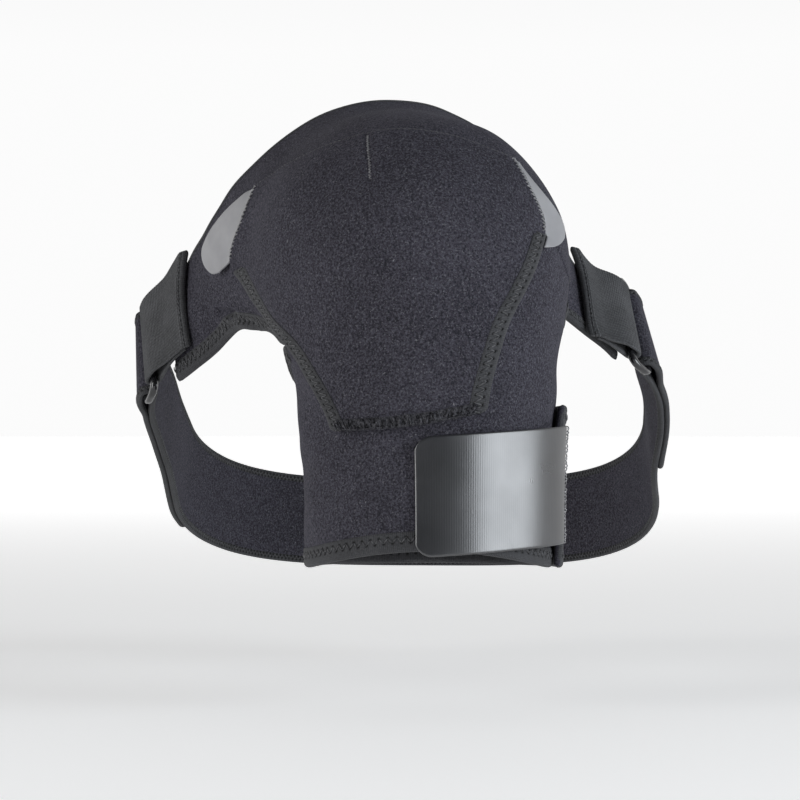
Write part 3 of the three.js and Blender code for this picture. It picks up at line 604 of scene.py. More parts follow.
def new_material(name, rough, colour, sheen=0.0):
    material = bpy.data.materials.new(name)
    material.use_nodes = True
    tree = material.node_tree
    shader = tree.nodes["Principled BSDF"]
    shader.inputs["Base Color"].default_value = (*colour, 1)
    shader.inputs["Roughness"].default_value = rough
    shader.inputs["Sheen Weight"].default_value = sheen
    material.diffuse_color = (*colour, 1)
    return material, Nodes(tree, shader), shader


class Nodes:
    """Short names for the nodes that the finishes are made of."""

    def __init__(self, tree, shader):
        self.tree, self.shader = tree, shader
        self.coord = tree.nodes.new("ShaderNodeTexCoord")

    def put(self, kind, inputs=(), **settings):
        node = self.tree.nodes.new(kind)
        for key, value in settings.items():
            setattr(node, key, value)
        for socket, value in inputs:
            if isinstance(value, bpy.types.NodeSocket):
                self.tree.links.new(value, node.inputs[socket])
            else:
                node.inputs[socket].default_value = value
        return node

    def noise(self, scale, detail=2.0, rough=0.5):
        inputs = [("Vector", self.coord.outputs["Object"]), ("Scale", scale), ("Detail", detail),
                  ("Roughness", rough)]
        return self.put("ShaderNodeTexNoise", inputs).outputs["Fac"]

    def ramp(self, value, low, high, a=0.0, b=1.0):
        inputs = [("Value", value), ("From Min", low), ("From Max", high), ("To Min", a), ("To Max", b)]
        return self.put("ShaderNodeMapRange", inputs).outputs["Result"]

    def math(self, how, a, b=0.0):
        return self.put("ShaderNodeMath", [(0, a), (1, b)], operation=how).outputs[0]

    def add(self, a, b):
        return self.math("ADD", a, b)

    def times(self, a, b):
        return self.math("MULTIPLY", a, b)

    def parts(self, space):
        return self.put("ShaderNodeSeparateXYZ", [("Vector", self.coord.outputs[space])]).outputs

    def mix(self, share, a, b):
        a, b = (v if isinstance(v, bpy.types.NodeSocket) else (*v, 1) for v in (a, b))
        return self.put("ShaderNodeMix", [(0, share), (6, a), (7, b)], data_type="RGBA").outputs[2]

    def bump(self, height, strength, distance):
        inputs = [("Height", height), ("Strength", strength), ("Distance", distance)]
        return self.put("ShaderNodeBump", inputs).outputs["Normal"]

    def link(self, value, socket):
        self.tree.links.new(value, self.shader.inputs[socket])

    def ribs(self, axis, pitch):
        """Rounded ribs a pitch apart along u (0) or v (1) of the piece's own map."""
        return self.math("SINE", self.times(self.parts("UV")[axis], 2 * math.pi / (pitch * 0.001)))


def plush_material(name, dark, light, fleck, coarse=1.0):
    material, nodes, shader = new_material(name, 0.9, light, sheen=0.04)
    shader.inputs["Sheen Roughness"].default_value = 0.5
    shader.inputs["Sheen Tint"].default_value = (0.75, 0.73, 0.9, 1)
    shader.inputs["Specular IOR Level"].default_value = 0.15
    grain = nodes.noise(1000 / coarse, 2.0, 0.6)
    fibre = nodes.noise(2100 / coarse, 2.0, 0.6)
    cloud = nodes.noise(26, 3.0, 0.6)
    tone = nodes.add(nodes.ramp(grain, 0.34, 0.66, -0.15, 0.75), nodes.ramp(fibre, 0.34, 0.66, -0.12, 0.32))
    tone = nodes.add(tone, nodes.ramp(cloud, 0.35, 0.65, -0.06, 0.1))
    colour = nodes.mix(nodes.ramp(tone, 0, 1), dark, light)
    specks = nodes.ramp(nodes.noise(1300, 1.0, 0.4), 0.62, 0.72, 0, 0.35)
    rare = nodes.ramp(nodes.noise(900, 0.0, 0.3), 0.84, 0.88, 0, 0.8)
    nodes.link(nodes.mix(nodes.math("MAXIMUM", specks, rare), colour, fleck), "Base Color")
    height = nodes.add(grain, nodes.times(fibre, 0.5))
    nodes.link(nodes.bump(height, 0.6, 0.0007 * coarse), "Normal")
    return material


def woven_material(name, dark, light, along, across, holes=None):
    """A woven finish; holes gives a zigzag's pitch and its two distances from the edge, where the stitch
    holes are dented and darkened with painted shade.
    """
    material, nodes, shader = new_material(name, 0.8, light, sheen=0.04)
    shader.inputs["Specular IOR Level"].default_value = 0.28
    warp = nodes.ramp(nodes.ribs(0, along), -1, 1)
    weft = nodes.ramp(nodes.ribs(1, across), -1, 1)
    weave = nodes.add(nodes.times(warp, 0.6), nodes.times(weft, 0.4))
    fuzz = nodes.noise(1300, 3.0, 0.6)
    tone = nodes.add(nodes.times(weave, 0.55), nodes.ramp(fuzz, 0.3, 0.7, -0.1, 0.55))
    cloud = nodes.ramp(nodes.noise(60, 2.0), 0.35, 0.65, -0.12, 0.12)
    share = nodes.ramp(nodes.add(tone, cloud), 0, 1)
    colour = nodes.mix(share, dark, light)
    height = nodes.add(weave, nodes.times(fuzz, 0.5))
    if holes:
        pitch, rails = holes
        u, v, _ = nodes.parts("UV")
        turn = nodes.math("DIVIDE", u, pitch * 0.001)
        away = nodes.times(v, 1000.0)
        near = []
        for shift, rail in zip((0.5, 0.0), rails):
            along_turn = nodes.math("SUBTRACT", nodes.math("FRACT", nodes.add(turn, shift)), 0.5)
            along_mm = nodes.times(along_turn, pitch)
            across_mm = nodes.math("SUBTRACT", away, rail)
            square = nodes.add(nodes.times(along_mm, along_mm), nodes.times(across_mm, across_mm))
            near.append(nodes.math("SQRT", square))
        # Mask of the stitch holes: it darkens them to near black as painted shade, and dents the bump there
        hole_shade_mask = nodes.ramp(nodes.math("MINIMUM", *near), 0.35, 1.0, 1, 0)
        colour = nodes.mix(nodes.times(hole_shade_mask, 0.92), colour, (0.004, 0.004, 0.004))
        height = nodes.math("SUBTRACT", height, nodes.times(hole_shade_mask, 2.5))
    nodes.link(colour, "Base Color")
    nodes.link(nodes.bump(height, 0.55, 0.00035), "Normal")
    return material


def thread_material(name, dark, light):
    material, nodes, _ = new_material(name, 0.55, light)
    tone = nodes.ramp(nodes.noise(900, 2.0), 0.35, 0.65)
    nodes.link(nodes.mix(tone, dark, light), "Base Color")
    nodes.link(nodes.bump(nodes.noise(2600, 2.0), 0.4, 0.0002), "Normal")
    return material


def flap_material():
    dark, light = (0.25, 0.25, 0.262), (0.32, 0.32, 0.33)
    material, nodes, _ = new_material("coated_flap", 0.45, light)
    tone = nodes.ramp(nodes.noise(45, 3.0, 0.6), 0.3, 0.7)
    nodes.link(nodes.mix(tone, dark, light), "Base Color")
    nodes.link(nodes.ramp(nodes.noise(300, 3.0), 0.3, 0.7, 0.4, 0.52), "Roughness")
    nodes.link(nodes.bump(nodes.noise(900, 2.0), 0.12, 0.0002), "Normal")
    return material


def tab_material():
    dark, light = (0.011, 0.012, 0.014), (0.021, 0.022, 0.026)
    material, nodes, shader = new_material("satin_tab", 0.3, light)
    shader.inputs["IOR"].default_value = 1.9
    lines = nodes.ramp(nodes.ribs(0, 0.95), -1, 1)
    wide = nodes.ramp(nodes.noise(70, 3.0, 0.6), 0.3, 0.7)
    share = nodes.add(nodes.times(lines, 0.3), nodes.times(wide, 0.6))
    nodes.link(nodes.mix(share, dark, light), "Base Color")
    nodes.link(nodes.ramp(nodes.noise(40, 3.0), 0.3, 0.7, 0.27, 0.35), "Roughness")
    nodes.link(nodes.bump(lines, 0.3, 0.00005), "Normal")
    return material


def ring_material():
    material, nodes, shader = new_material("moulded_ring", 0.16, (0.012, 0.012, 0.014))
    shader.inputs["Coat Weight"].default_value = 0.6
    shader.inputs["Coat Roughness"].default_value = 0.08
    tone = nodes.ramp(nodes.noise(160, 3.0), 0.35, 0.65)
    nodes.link(nodes.mix(tone, (0.008, 0.008, 0.009), (0.02, 0.02, 0.023)), "Base Color")
    nodes.link(nodes.ramp(nodes.noise(700, 3.0), 0.3, 0.7, 0.1, 0.24), "Roughness")
    return material


# A zigzag's pitch and its two distances from the edge: on the wide tapes, at the hem and on the strap
EDGE_ZIGZAG = (3.5, (7.3, 3.7))
HEM_ZIGZAG = (4.2, (6.6, 4.3))
STRAP_ZIGZAG = (2.4, (3.4, 1.7))
TAPE_DARK, TAPE_LIGHT = (0.022, 0.0225, 0.0245), (0.062, 0.063, 0.068)

CLOTH_FINISH = plush_material(
    "plush_cloth", (0.0145, 0.0138, 0.0185), (0.068, 0.0655, 0.083), (0.2, 0.2, 0.22))
TUFT_FINISH = plush_material(
    "tufted_band", (0.008, 0.008, 0.01), (0.085, 0.085, 0.095), (0.2, 0.2, 0.2), 1.7)
TAPE_FINISHES = {
    zig: woven_material(name, TAPE_DARK, TAPE_LIGHT, 0.9, 0.7, zig)
    for name, zig in (("edge_tape", EDGE_ZIGZAG), ("hem_tape", HEM_ZIGZAG), ("strap_tape", STRAP_ZIGZAG),
                      ("plain_tape", None))
}
WEBBING_RIB = 1.05  # the webbing's ribs, along it
WEBBING_FINISH = woven_material(
    "elastic_webbing", (0.024, 0.0245, 0.026), (0.098, 0.1, 0.106), WEBBING_RIB, 1.6)
THREAD_FINISH = thread_material("sewing_thread", (0.02, 0.02, 0.022), (0.085, 0.086, 0.092))
PALE_THREAD_FINISH = thread_material("pale_sewing_thread", (0.1, 0.1, 0.105), (0.34, 0.34, 0.35))
MID_THREAD_FINISH = thread_material("grey_sewing_thread", (0.06, 0.06, 0.066), (0.22, 0.22, 0.235))
FLAP_FINISH = flap_material()
TAB_FINISH = tab_material()
RING_FINISH = ring_material()

# Bindings

BINDING_DROP = 0.35  # how far a tape reaches below the cloth
STITCH_DIP = 0.22  # how far stitches press a tape in


def binding(name, cut, side, low, high, width, zig, material=None, thread=None, grown=1.0, rise_top=0.62,
            corner=2.0, jitter=0.12):
    """A tape folded over a cut edge. side is 1 where the edge is the ribs' first end and -1 at their last;
    zig gives the stitches' pitch and their two distances from the edge; grown widens the tape."""
    far = cut.distance if side > 0 else cut.length[:, None] - cut.distance
    order = slice(None) if side > 0 else slice(None, None, -1)
    far = far[:, order][0]
    point, normal, bulge = cut.point[:, order], cut.normal[:, order], cut.relief[:, order]
    low, high = (np.broadcast_to(np.asarray(v, float), (len(point),)) for v in (low, high))

    count = np.arange(len(point))
    grown = np.broadcast_to(np.asarray(grown, float), (len(point),))

    def on(distance, level):
        away = distance * (1 + (grown - 1) * smooth(distance / 3))
        j = np.clip(np.searchsorted(far, away) - 1, 0, len(far) - 2)
        t = (away - far[j]) / (far[j + 1] - far[j])
        mixed = [a[count, j] + (a[count, j + 1] - a[count, j]) * (t if a.ndim == 2 else t[:, None])
                 for a in (point, normal, bulge)]
        return mixed[0] + unit(mixed[1]) * (level + mixed[2])[:, None]

    radius = (high - low + rise_top + BINDING_DROP) / 2
    middle = (high + rise_top + low - BINDING_DROP) / 2
    along = cut.along[:, 0]
    profile = [(width, high + 0.03), (width - 0.2, high + 0.3), (width - 0.8, high + rise_top - 0.05)]
    if zig:
        pitch, (inner, outer) = zig
        top = high + rise_top
        rails = [on(d, top) for d in (inner, outer)]
        along = stitch_run(rails[0], pitch)
        dip = STITCH_DIP * np.cos(2 * np.pi * along / pitch)
        profile += [(inner + 0.35, top - 0.2 * dip), (inner, top - 0.1 - dip),
                    ((inner + outer) / 2, top + 0.12), (outer, top - 0.1 + dip),
                    (outer - 0.5, top + 0.2 * dip), (outer - 1.2, top + 0.14)]
    for turn in math.pi / 2 + math.pi * np.arange(8) / 7:
        profile.append((radius.mean() * (1 + math.cos(turn)), middle + radius * math.sin(turn)))
    profile += [(width * 0.55, low - BINDING_DROP), (width, low - 0.05)]
    rows = np.stack([on(d, level) for d, level in profile], 1)
    uv = joined(along[:, None], np.array([d for d, _ in profile]))
    sweep(name, rows, material or TAPE_FINISHES[zig], uv, corner=corner)
    if zig:
        mid_normal = unit(normal[:, len(far) // 2])
        zigzag(name + "_stitches", *rails, mid_normal, pitch, thread or THREAD_FINISH, 0.3, 0.2, jitter)


EDGE_REACH = (0, 1.2, 2.4, 4, 6, 8, 9.4)  # distances from an edge at which a tape's cut is measured


def edge_cut(ribs, start, end, pitch, side, where, reach=EDGE_REACH):
    reach = np.array(reach, float)

    def distances(length):
        if side > 0:
            return np.broadcast_to(reach, (len(length), len(reach)))
        return length[:, None] - reach[None, ::-1]

    return Cut(ribs, shares_by_length(ribs, start, end, pitch, where), distances)


FINE = 0.62  # spacing of the sections along a tape
CLOTH_PITCH, CLOTH_CORNER = 1.45, 1.2  # spacing of the cloth's grid, and how far its edges are rounded
PANEL_PITCH, PANEL_CORNER = 1.6, 1.4

# Yoke


def spaced(start, end_gap, pitch, corner):
    """Columns from a start to a gap before each rib's end, eased at both."""
    def distances(length):
        span = (length - end_gap - start)[:, None]
        pattern = eased(span.max(), pitch, corner)
        whole = pattern[-1]
        middle = corner + (pattern - corner) / (whole - 2 * corner) * (span - 2 * corner)
        rows = np.where(pattern > whole - corner, span - (whole - pattern), middle)
        return start + np.where(pattern < corner, pattern, rows)
    return distances


def cloth_shell(name, cut, low, high, corner):
    start = cut.distance - cut.distance[:, :1]
    end = cut.distance[:, -1:] - cut.distance
    along = cut.along[:, cut.along.shape[1] // 2]
    ends = rounded(np.minimum(along, along[-1] - along), corner)[:, None]
    soft = pinned(rounded(np.minimum(start, end), corner) * ends)
    middle, half = (low + high) / 2, (high - low) / 2
    shell(name, cut.at(middle + half * soft), cut.at(middle - half * soft), CLOTH_FINISH, cut.uv())


yoke_shares = shares_by_length(yoke_ribs, 0, 1, CLOTH_PITCH, 0.4, 1.0)
yoke_cut = Cut(yoke_ribs, yoke_shares, spaced(0.5, 0.3, CLOTH_PITCH, CLOTH_CORNER))
cloth_shell("yoke_cloth", yoke_cut, SKIN_GAP, BASE_TOP, CLOTH_CORNER)

seam_from, seam_to = (k / LAST_RIB for k in SEAM_RIBS)
binding("neck_edge", edge_cut(yoke_ribs, 0, 1, 1.0, 1, 0.0, (0, 1, 2, 3.4, 5)),
        1, SKIN_GAP, BASE_TOP, NECK_TAPE_WIDTH, None)
for name, start, end in (("back_wing_edge", 0, seam_from + 0.8 * RIB_STATION),
                         ("front_wing_edge", seam_to + 0.2 * RIB_STATION, 1)):
    binding(name, edge_cut(yoke_ribs, start, end, FINE, -1, 1.0),
            -1, SKIN_GAP, BASE_TOP, TAPE_WIDTH, EDGE_ZIGZAG)

# Sleeve

sleeve_shares = shares_by_length(sleeve_ribs, 0, 1, CLOTH_PITCH, 0.3, 1.0)
sleeve_cut = Cut(sleeve_ribs, sleeve_shares, spaced(0.6, 0.3, CLOTH_PITCH, CLOTH_CORNER))
lift = sleeve_lift(sleeve_cut.shares)[:, None]
cloth_shell("sleeve_cloth", sleeve_cut, SKIN_GAP + lift, BASE_TOP + lift, CLOTH_CORNER)

turn_length = sleeve_cut.along[-1, sleeve_cut.along.shape[1] // 5]
end_share = TAPE_WIDTH / turn_length
open_back, open_front = 9 / TURN_LAST, 2 / TURN_LAST
for name, start, end, side, where, zig in (
    ("hem_edge", 0, 1 - 0.3 * end_share, 1, 0.0, HEM_ZIGZAG),
    ("armpit_edge", open_back - 0.5 * RIB_STATION, 1 - 0.3 * end_share, -1, 1.0, EDGE_ZIGZAG),
    ("armhole_front_edge", 0, open_front - 0.3 * RIB_STATION, -1, 1.0, EDGE_ZIGZAG),
):
    cut = edge_cut(sleeve_ribs, start, end, FINE, side, where)
    raised = sleeve_lift(cut.shares)
    binding(name, cut, side, SKIN_GAP + raised, BASE_TOP + raised, TAPE_WIDTH, zig)


class TurnedCut(Cut):
    """An edge that runs along the ribs: the ribs' shares become the distance from the edge."""

    def __init__(self, lines):
        self.lay(np.array(lines).transpose(1, 0, 2))
        self.length = np.full(len(self.point), EDGE_REACH[-1])
        self.distance = np.broadcast_to(np.array(EDGE_REACH, float), self.point.shape[:2])


end_lines = sleeve_ribs(np.array([1.0 - d * (end_share / TAPE_WIDTH) for d in EDGE_REACH]))
free_edge = TurnedCut([resample(line, int(run_length(end_lines[0]) / FINE) + 2) for line in end_lines])
top_lift = float(sleeve_lift(1.0))
binding("sleeve_end_edge", free_edge, 1, SKIN_GAP + top_lift, BASE_TOP + top_lift, TAPE_WIDTH, None,
        corner=5.0)

# Outer panel

panel_shares = shares_by_length(panel_ribs, 0, 1, PANEL_PITCH, 0.5, PANEL_CORNER)
panel_cut = Cut(panel_ribs, panel_shares, spaced(0.4, 0.4, PANEL_PITCH, PANEL_CORNER))
from_top = panel_cut.along
seam_drop = (PANEL_CLOTH - 0.5) * (1 - smooth(from_top / 6.5)) ** 2
dart_line = settle(lay_on(np.array([-12.6, -12.0, -11.4]), np.array([114.6, 105.0, 95.6]), 0.0))
dart = chain_distance(panel_cut.point, dart_line)
dart_sink = 0.9 * np.exp(-((dart / 1.3) ** 2)) - 0.35 * np.exp(-(((dart - 3.2) / 1.6) ** 2))
panel_cut.relief = panel_cut.relief - dart_sink
cloth_shell("panel_cloth", panel_cut, PANEL_FLOOR - seam_drop * 0.15, PANEL_TOP - seam_drop, PANEL_CORNER)

for name, side in (("panel_back_edge", 1), ("panel_front_edge", -1)):
    cut = edge_cut(panel_ribs, PANEL_TAPED_FROM, 1, FINE, side, 0.0 if side > 0 else 1.0)
    grown = 1.0 + 0.75 * (1 - smooth((cut.shares - 0.4) / 0.5)) if side > 0 else 1.0
    binding(name, cut, side, PANEL_FLOOR, PANEL_TOP, TAPE_WIDTH, EDGE_ZIGZAG, grown=grown)


def panel_bottom():
    """The stitched band along the panel's lower edge."""
    height = panel_cut.along[-1, panel_cut.along.shape[1] // 2]
    lines = []
    for line in panel_ribs(1 - np.array(EDGE_REACH) / height):
        run = run_along(line)
        lines.append(at_runs(line, run, np.linspace(TAPE_WIDTH * 0.6, run[-1] - TAPE_WIDTH * 0.6, 130)))
    return TurnedCut(lines)


binding("panel_bottom_edge", panel_bottom(), 1, PANEL_FLOOR, PANEL_TOP, PANEL_BAND_WIDTH, (0.8, (7.2, 1.0)),
        TUFT_FINISH, TUFT_FINISH, rise_top=1.0, jitter=0.55)

seam_row = int(np.searchsorted(from_top[:, from_top.shape[1] // 2], 4.2))
seam_rail = panel_cut.at(PANEL_TOP - seam_drop)[seam_row, 3:-3]
running("panel_top_stitches", seam_rail, panel_cut.normal[seam_row, 3:-3], 2.4, THREAD_FINISH, 0.2, 0.04)
dart_rail = settle(resample(dart_line, 24))
dart_normal = body_normal(dart_rail)
side_way = unit(np.cross(dart_normal, np.array([0.0, 0.0, 1.0])))
dart_surface = dart_rail + dart_normal * (PANEL_TOP - 0.72 + relief(dart_rail))[:, None]
zigzag("dart_stitches", dart_surface + side_way * 0.85, dart_surface - side_way * 0.85, dart_normal, 1.5,
       MID_THREAD_FINISH, 0.26, 0.22, 0.1)

# Flaps

FLAP_LEVEL = PANEL_FLOOR + 0.9


def flap_width(share, side):
    start, end = FLAP_SPANS[side]
    u = (share - start) / (end - start)
    if side > 0:
        grown = np.sqrt(np.sin(math.pi / 2 * np.minimum(1, u / 0.5)))
        grown = grown * (1 - 0.3 * smooth((u - 0.55) / 0.45))
    else:
        grown = 0.12 + 0.88 * smooth(u / 0.75)
    turned = np.sqrt(np.maximum(0, 1 - np.maximum(0, (u - 0.8) / 0.2) ** 2))
    least = 0.8 if side > 0 else 0.25
    return FLAP_WIDTHS[side] * grown * (least + (1 - least) * turned)


def flap(name, side):
    first, last = FLAP_SPANS[side]
    shares = np.linspace(first + 0.001, last, 70)
    if side > 0:
        clear = 0.77 * np.clip((shares - 0.24) / 0.045, 0, 1) ** 1.7 * flap_width(shares, side)
    else:
        clear = 2.4 * smooth((shares - 0.28) / 0.025)
    spread = np.concatenate([[0, 0.01, 0.04, 0.09], np.linspace(0.16, 0.93, 18), [0.97, 0.99, 1]])

    def distances(length):
        width = 1.0 + flap_width(shares, side)
        out = -1.0 + clear[:, None] + spread[None] * (width - clear)[:, None]
        return -out if side > 0 else length[:, None] + out

    cut = Cut(panel_ribs, shares, distances)
    out = np.abs(cut.distance if side > 0 else cut.distance - cut.length[:, None])
    level = FLAP_LEVEL + 1.2 * smooth(out / 9) + np.maximum(0, out - 3) ** 2 / 130
    width = np.abs(cut.distance[:, -1] - cut.distance[:, 0])
    near = np.minimum(spread, 1 - spread)[None] * width[:, None]
    soft = pinned(rounded(near, 0.6) * rounded(np.minimum(cut.along, cut.along[-1:] - cut.along), 0.6))
    half = FLAP_THICKNESS / 2
    shell(name, cut.at(level + half * (1 + soft)), cut.at(level + half * (1 - soft)), FLAP_FINISH, cut.uv())
    edge_shares = np.linspace(first + 0.004, 0.245 if side > 0 else 0.285, 60)
    edge = Cut(panel_ribs, edge_shares, lambda length: (
        np.broadcast_to([1.1, 3.6], (60, 2)) if side > 0 else length[:, None] - np.array([1.1, 3.6])))
    rails = edge.at(np.array([[PANEL_TOP - 0.15, PANEL_TOP + 0.15]]))
    zigzag(name + "_stitches", rails[:, 0], rails[:, 1], edge.normal[:, 0], 1.9,
           PALE_THREAD_FINISH, 0.26, 0.3, 0.15)


flap("flap_back_cloth", 1)
flap("flap_front_cloth", -1)

# Closure tab


def stiffened(run, height, distance):
    """A stiff sheet's distance from the arm's axis: straight up and down, and smooth around the arm."""
    rows = np.stack([np.ones_like(height), height], -1)
    lines = np.array([np.linalg.lstsq(a, b, rcond=None)[0] for a, b in zip(rows, distance)])
    around = np.polynomial.polynomial.polyvander(run / run[-1], 5)
    lines = around @ np.linalg.lstsq(around, lines, rcond=None)[0]
    stiff = lines[:, :1] + lines[:, 1:] * height
    gap = (distance - stiff).max(1)
    return stiff + (around @ np.linalg.lstsq(around, gap, rcond=None)[0] + 0.15)[:, None]


def tab():
    free_angle = SLEEVE_ANGLES[-1]
    middle = -SLEEVE_DROP + HEM_ARCH + TAB_HEIGHT / 2
    length = TAB_LENGTH - TAB_LAP + TAB_SEWN
    run = eased(length, 1.0, 1.0)
    reach = run - TAB_SEWN
    to_end = length - run
    short = np.maximum(0, TAB_CORNER - to_end)
    half_height = TAB_HEIGHT / 2 - TAB_CORNER + np.sqrt(np.maximum(0, TAB_CORNER**2 - short**2))
    spread = spread_out((1, 0.998, 0.99, 0.975), 0.95, 54)
    height = middle + spread[None] * half_height[:, None] + TAB_TILT * (1 - 2 * run / length)[:, None]
    waist = 1.3 * (1 - spread**2) * np.exp(-run[:, None] / 12)
    angle = free_angle - np.degrees((reach[:, None] + waist) / (ARM_WIDTH / 2))
    body = settle(around_arm(angle, height, ARM_WIDTH / 2), steps=8)
    axis = around_arm(angle, height, 0.0)
    reach_out = np.linalg.norm(body - axis, axis=-1)
    stiff = stiffened(run, height - middle, reach_out)
    normal = unit(body - axis)
    point = axis + normal * stiff[..., None]
    high = top_lift + BASE_TAPE_TOP + LAYER_GAP
    low = BASE_TAPE_TOP + LAYER_GAP
    under = high + (low - high) * smooth((reach - 4) / 36)[:, None]
    wave = 0.12 * np.sin(reach / 11 - 0.4)[:, None] * np.cos(1.3 * spread + 0.4)[None]
    wave = wave + 0.5 * smooth((reach - 58) / 20)[:, None] * spread[None] ** 2
    under = under + 0.3 + wave
    edge = np.minimum((1 - np.abs(spread))[None] * half_height[:, None], np.minimum(run, to_end)[:, None])
    soft = pinned(rounded(edge, 0.7))
    half = TAB_THICKNESS / 2
    top = point + normal * (under + half * (1 + soft))[..., None]
    bottom = point + normal * (under + half * (1 - soft))[..., None]
    shell("tab_cloth", top, bottom, TAB_FINISH, joined(run[:, None], height))
    out = unit(top[0] - top[8])
    rail = top[2] + normal[2] * 0.1
    zigzag("tab_edge_stitches", rail[2:-2], (rail + out * 4.2 - normal[2] * 0.5)[2:-2], normal[2, 2:-2], 1.5,
           PALE_THREAD_FINISH, 0.3, 0.3, 0.25)
    return top, normal


tab_top, tab_normal = tab()


def frayed_threads():
    """Loose thread ends at the tab's sewn edge."""
    chance = np.random.default_rng(7)
    sides, steps = 5, 9
    t = np.linspace(0, 1, steps)[:, None]
    tubes, faces = [], []
    for k in range(26):
        near = 0.2 + 0.6 * chance.random() if k > 9 else 0.42 + 0.06 * chance.random()
        j = int(near * tab_top.shape[1])
        out = unit(tab_top[0, j] - tab_top[6, j])
        n = tab_normal[0, j]
        size = 1.2 + (3.6 if k <= 9 else 1.3) * chance.random()
        bend = chance.normal(0, 1, (3, 3))
        sway = bend[0] * t**2 * 0.55 + bend[1] * np.sin(5 * t) * 0.35 * t
        sway = sway + bend[2] * np.sin(9 * t) * 0.2 * t
        line = tab_top[1, j] - out * 0.5 + out * t * size + n * (0.6 * t * (1 - t)) + sway * size * 0.4
        tangent = unit(np.gradient(line, axis=0))
        side = unit(np.cross(tangent, n))
        thin = 0.14 * (1 - 0.5 * t)
        tubes.append(line[:, None] + thin[:, None] * circle(side, np.cross(side, tangent), sides))
        index = tube_index(steps, sides) + k * steps * sides
        faces += grid_quads(index).tolist() + [index[0, sides - 1::-1].tolist(), index[-1, :-1].tolist()]
    mesh_piece("tab_frayed_threads", np.array(tubes).reshape(-1, 3), faces, THREAD_FINISH)


frayed_threads()

# The taut line of the bands and the strap


class Curve:
    """A centripetal spline through points, measured along itself."""

    def __init__(self, points, divisions=200):
        self.p = np.array(points, float)
        t = np.linspace(0, 1, divisions + 1)
        self.run = run_along(self.point(t))
        self.t = t
        self.length = self.run[-1]

    def point(self, t):
        p = self.p
        last = len(p) - 1
        at = np.clip(np.asarray(t, float), 0, 1) * last
        i = np.minimum(np.floor(at).astype(int), last - 1)
        w = (at - i)[..., None]
        padded = np.concatenate([[2 * p[0] - p[1]], p, [2 * p[-1] - p[-2]]])
        a, b, c, d = padded[i], padded[i + 1], padded[i + 2], padded[i + 3]
        ta, tb, tc = (((v - u) ** 2).sum(-1, keepdims=True) ** 0.25 for u, v in ((a, b), (b, c), (c, d)))
        tb = np.where(tb < 1e-4, 1.0, tb)
        ta = np.where(ta < 1e-4, tb, ta)
        tc = np.where(tc < 1e-4, tb, tc)
        m1 = ((b - a) / ta - (c - a) / (ta + tb) + (c - b) / tb) * tb
        m2 = ((c - b) / tb - (d - b) / (tb + tc) + (d - c) / tc) * tb
        return b + m1 * w + (-3 * b + 3 * c - 2 * m1 - m2) * w**2 + (2 * b - 2 * c + m1 + m2) * w**3

    def share(self, u):
        return np.interp(np.asarray(u, float) * self.length, self.run, self.t)

    def tangent(self, u):
        t = self.share(u)
        return unit(self.point(np.minimum(1, t + 1e-4)) - self.point(np.maximum(0, t - 1e-4)))


RUN_SAMPLES = 120
LINE_EASING = 12
NORMAL_REACH = 4  # samples over which the line's normals are evened out
HUG_WHOLE, HUG_FADE = 0.35, 0.4  # where the wing is hugged and where that fades, shares of a ring's distance


def strap_line():
    back, front = rise(BACK_RUN), rise(FRONT_RUN)
    first = math.atan2(back[-1][1] - CHEST_MIDDLE[1], back[-1][0] - CHEST_MIDDLE[0]) + 2 * math.pi
    last = math.atan2(front[0][1] - CHEST_MIDDLE[1], front[0][0] - CHEST_MIDDLE[0])
    q = np.arange(1, 14) / 14
    angle = first + (last - first) * q
    end = back[-1][2] * (1 - q) + front[0][2] * q
    low = LOOP_LOW * RISE
    loop = np.stack([
        CHEST_MIDDLE[0] + CHEST_HALF[0] * np.cos(angle),
        CHEST_MIDDLE[1] + CHEST_HALF[1] * np.sin(angle),
        low + (end - low) * np.maximum(0, 1 - np.sin(np.pi * q)) ** 1.5,
    ], -1)
    rough = Curve(np.concatenate([back, loop, front]))
    points = settle(rough.point(rough.share(np.arange(RUN_SAMPLES + 1) / RUN_SAMPLES)), steps=10)
    free = points[:, 1] > back[-1][1]
    for _ in range(40):
        for k in range(1, RUN_SAMPLES):
            if free[k]:
                q = (points[k - 1] + points[k + 1]) / 2
                q[2] = points[k, 2]
                points[k] = q if outside(q) > 0 else settle(q, steps=3)
    for _ in range(LINE_EASING):
        q = points.copy()
        q[1:-1] = (points[:-2] + points[2:] + 2 * points[1:-1]) / 4
        loose = free & (outside(q) > 0)
        q[1:-1] = np.where(loose[1:-1, None], q[1:-1], settle(q[1:-1]))
        points = q
    return Curve(points, 600)


line = strap_line()
LINE_LENGTH = line.length
line_normals = body_normal(line.point(line.share(np.arange(RUN_SAMPLES + 1) / RUN_SAMPLES)))


def place(distance, across, level):
    """A point beside the line: across it, above it, and hugging the wing near its two ends."""
    distance, across, level = (a.astype(float) for a in np.broadcast_arrays(distance, across, level))
    share = np.clip(distance / LINE_LENGTH, 0, 1)
    at = line.point(line.share(share))
    tangent = line.tangent(share)
    at = at + tangent * (distance - share * LINE_LENGTH)[..., None]
    steps_off = np.abs(np.arange(RUN_SAMPLES + 1) - share[..., None] * RUN_SAMPLES)
    out = np.maximum(0, 1 - steps_off / NORMAL_REACH) @ line_normals
    out = unit(out - tangent * (out * tangent).sum(-1, keepdims=True))
    p = at + np.cross(tangent, out) * across[..., None]
    near_end = np.minimum(distance / BAND_BACK["ring"], (LINE_LENGTH - distance) / BAND_FRONT["ring"])
    hug = (1 - smooth((near_end - HUG_WHOLE) / HUG_FADE))[..., None]
    close = hug[..., 0] > 0
    if close.any():
        q = settle(p[close])
        share = hug[close]
        out[close] = unit(out[close] * (1 - share) + body_normal(q) * share)
        p[close] = p[close] * (1 - share) + q * share
    return p + out * level[..., None]


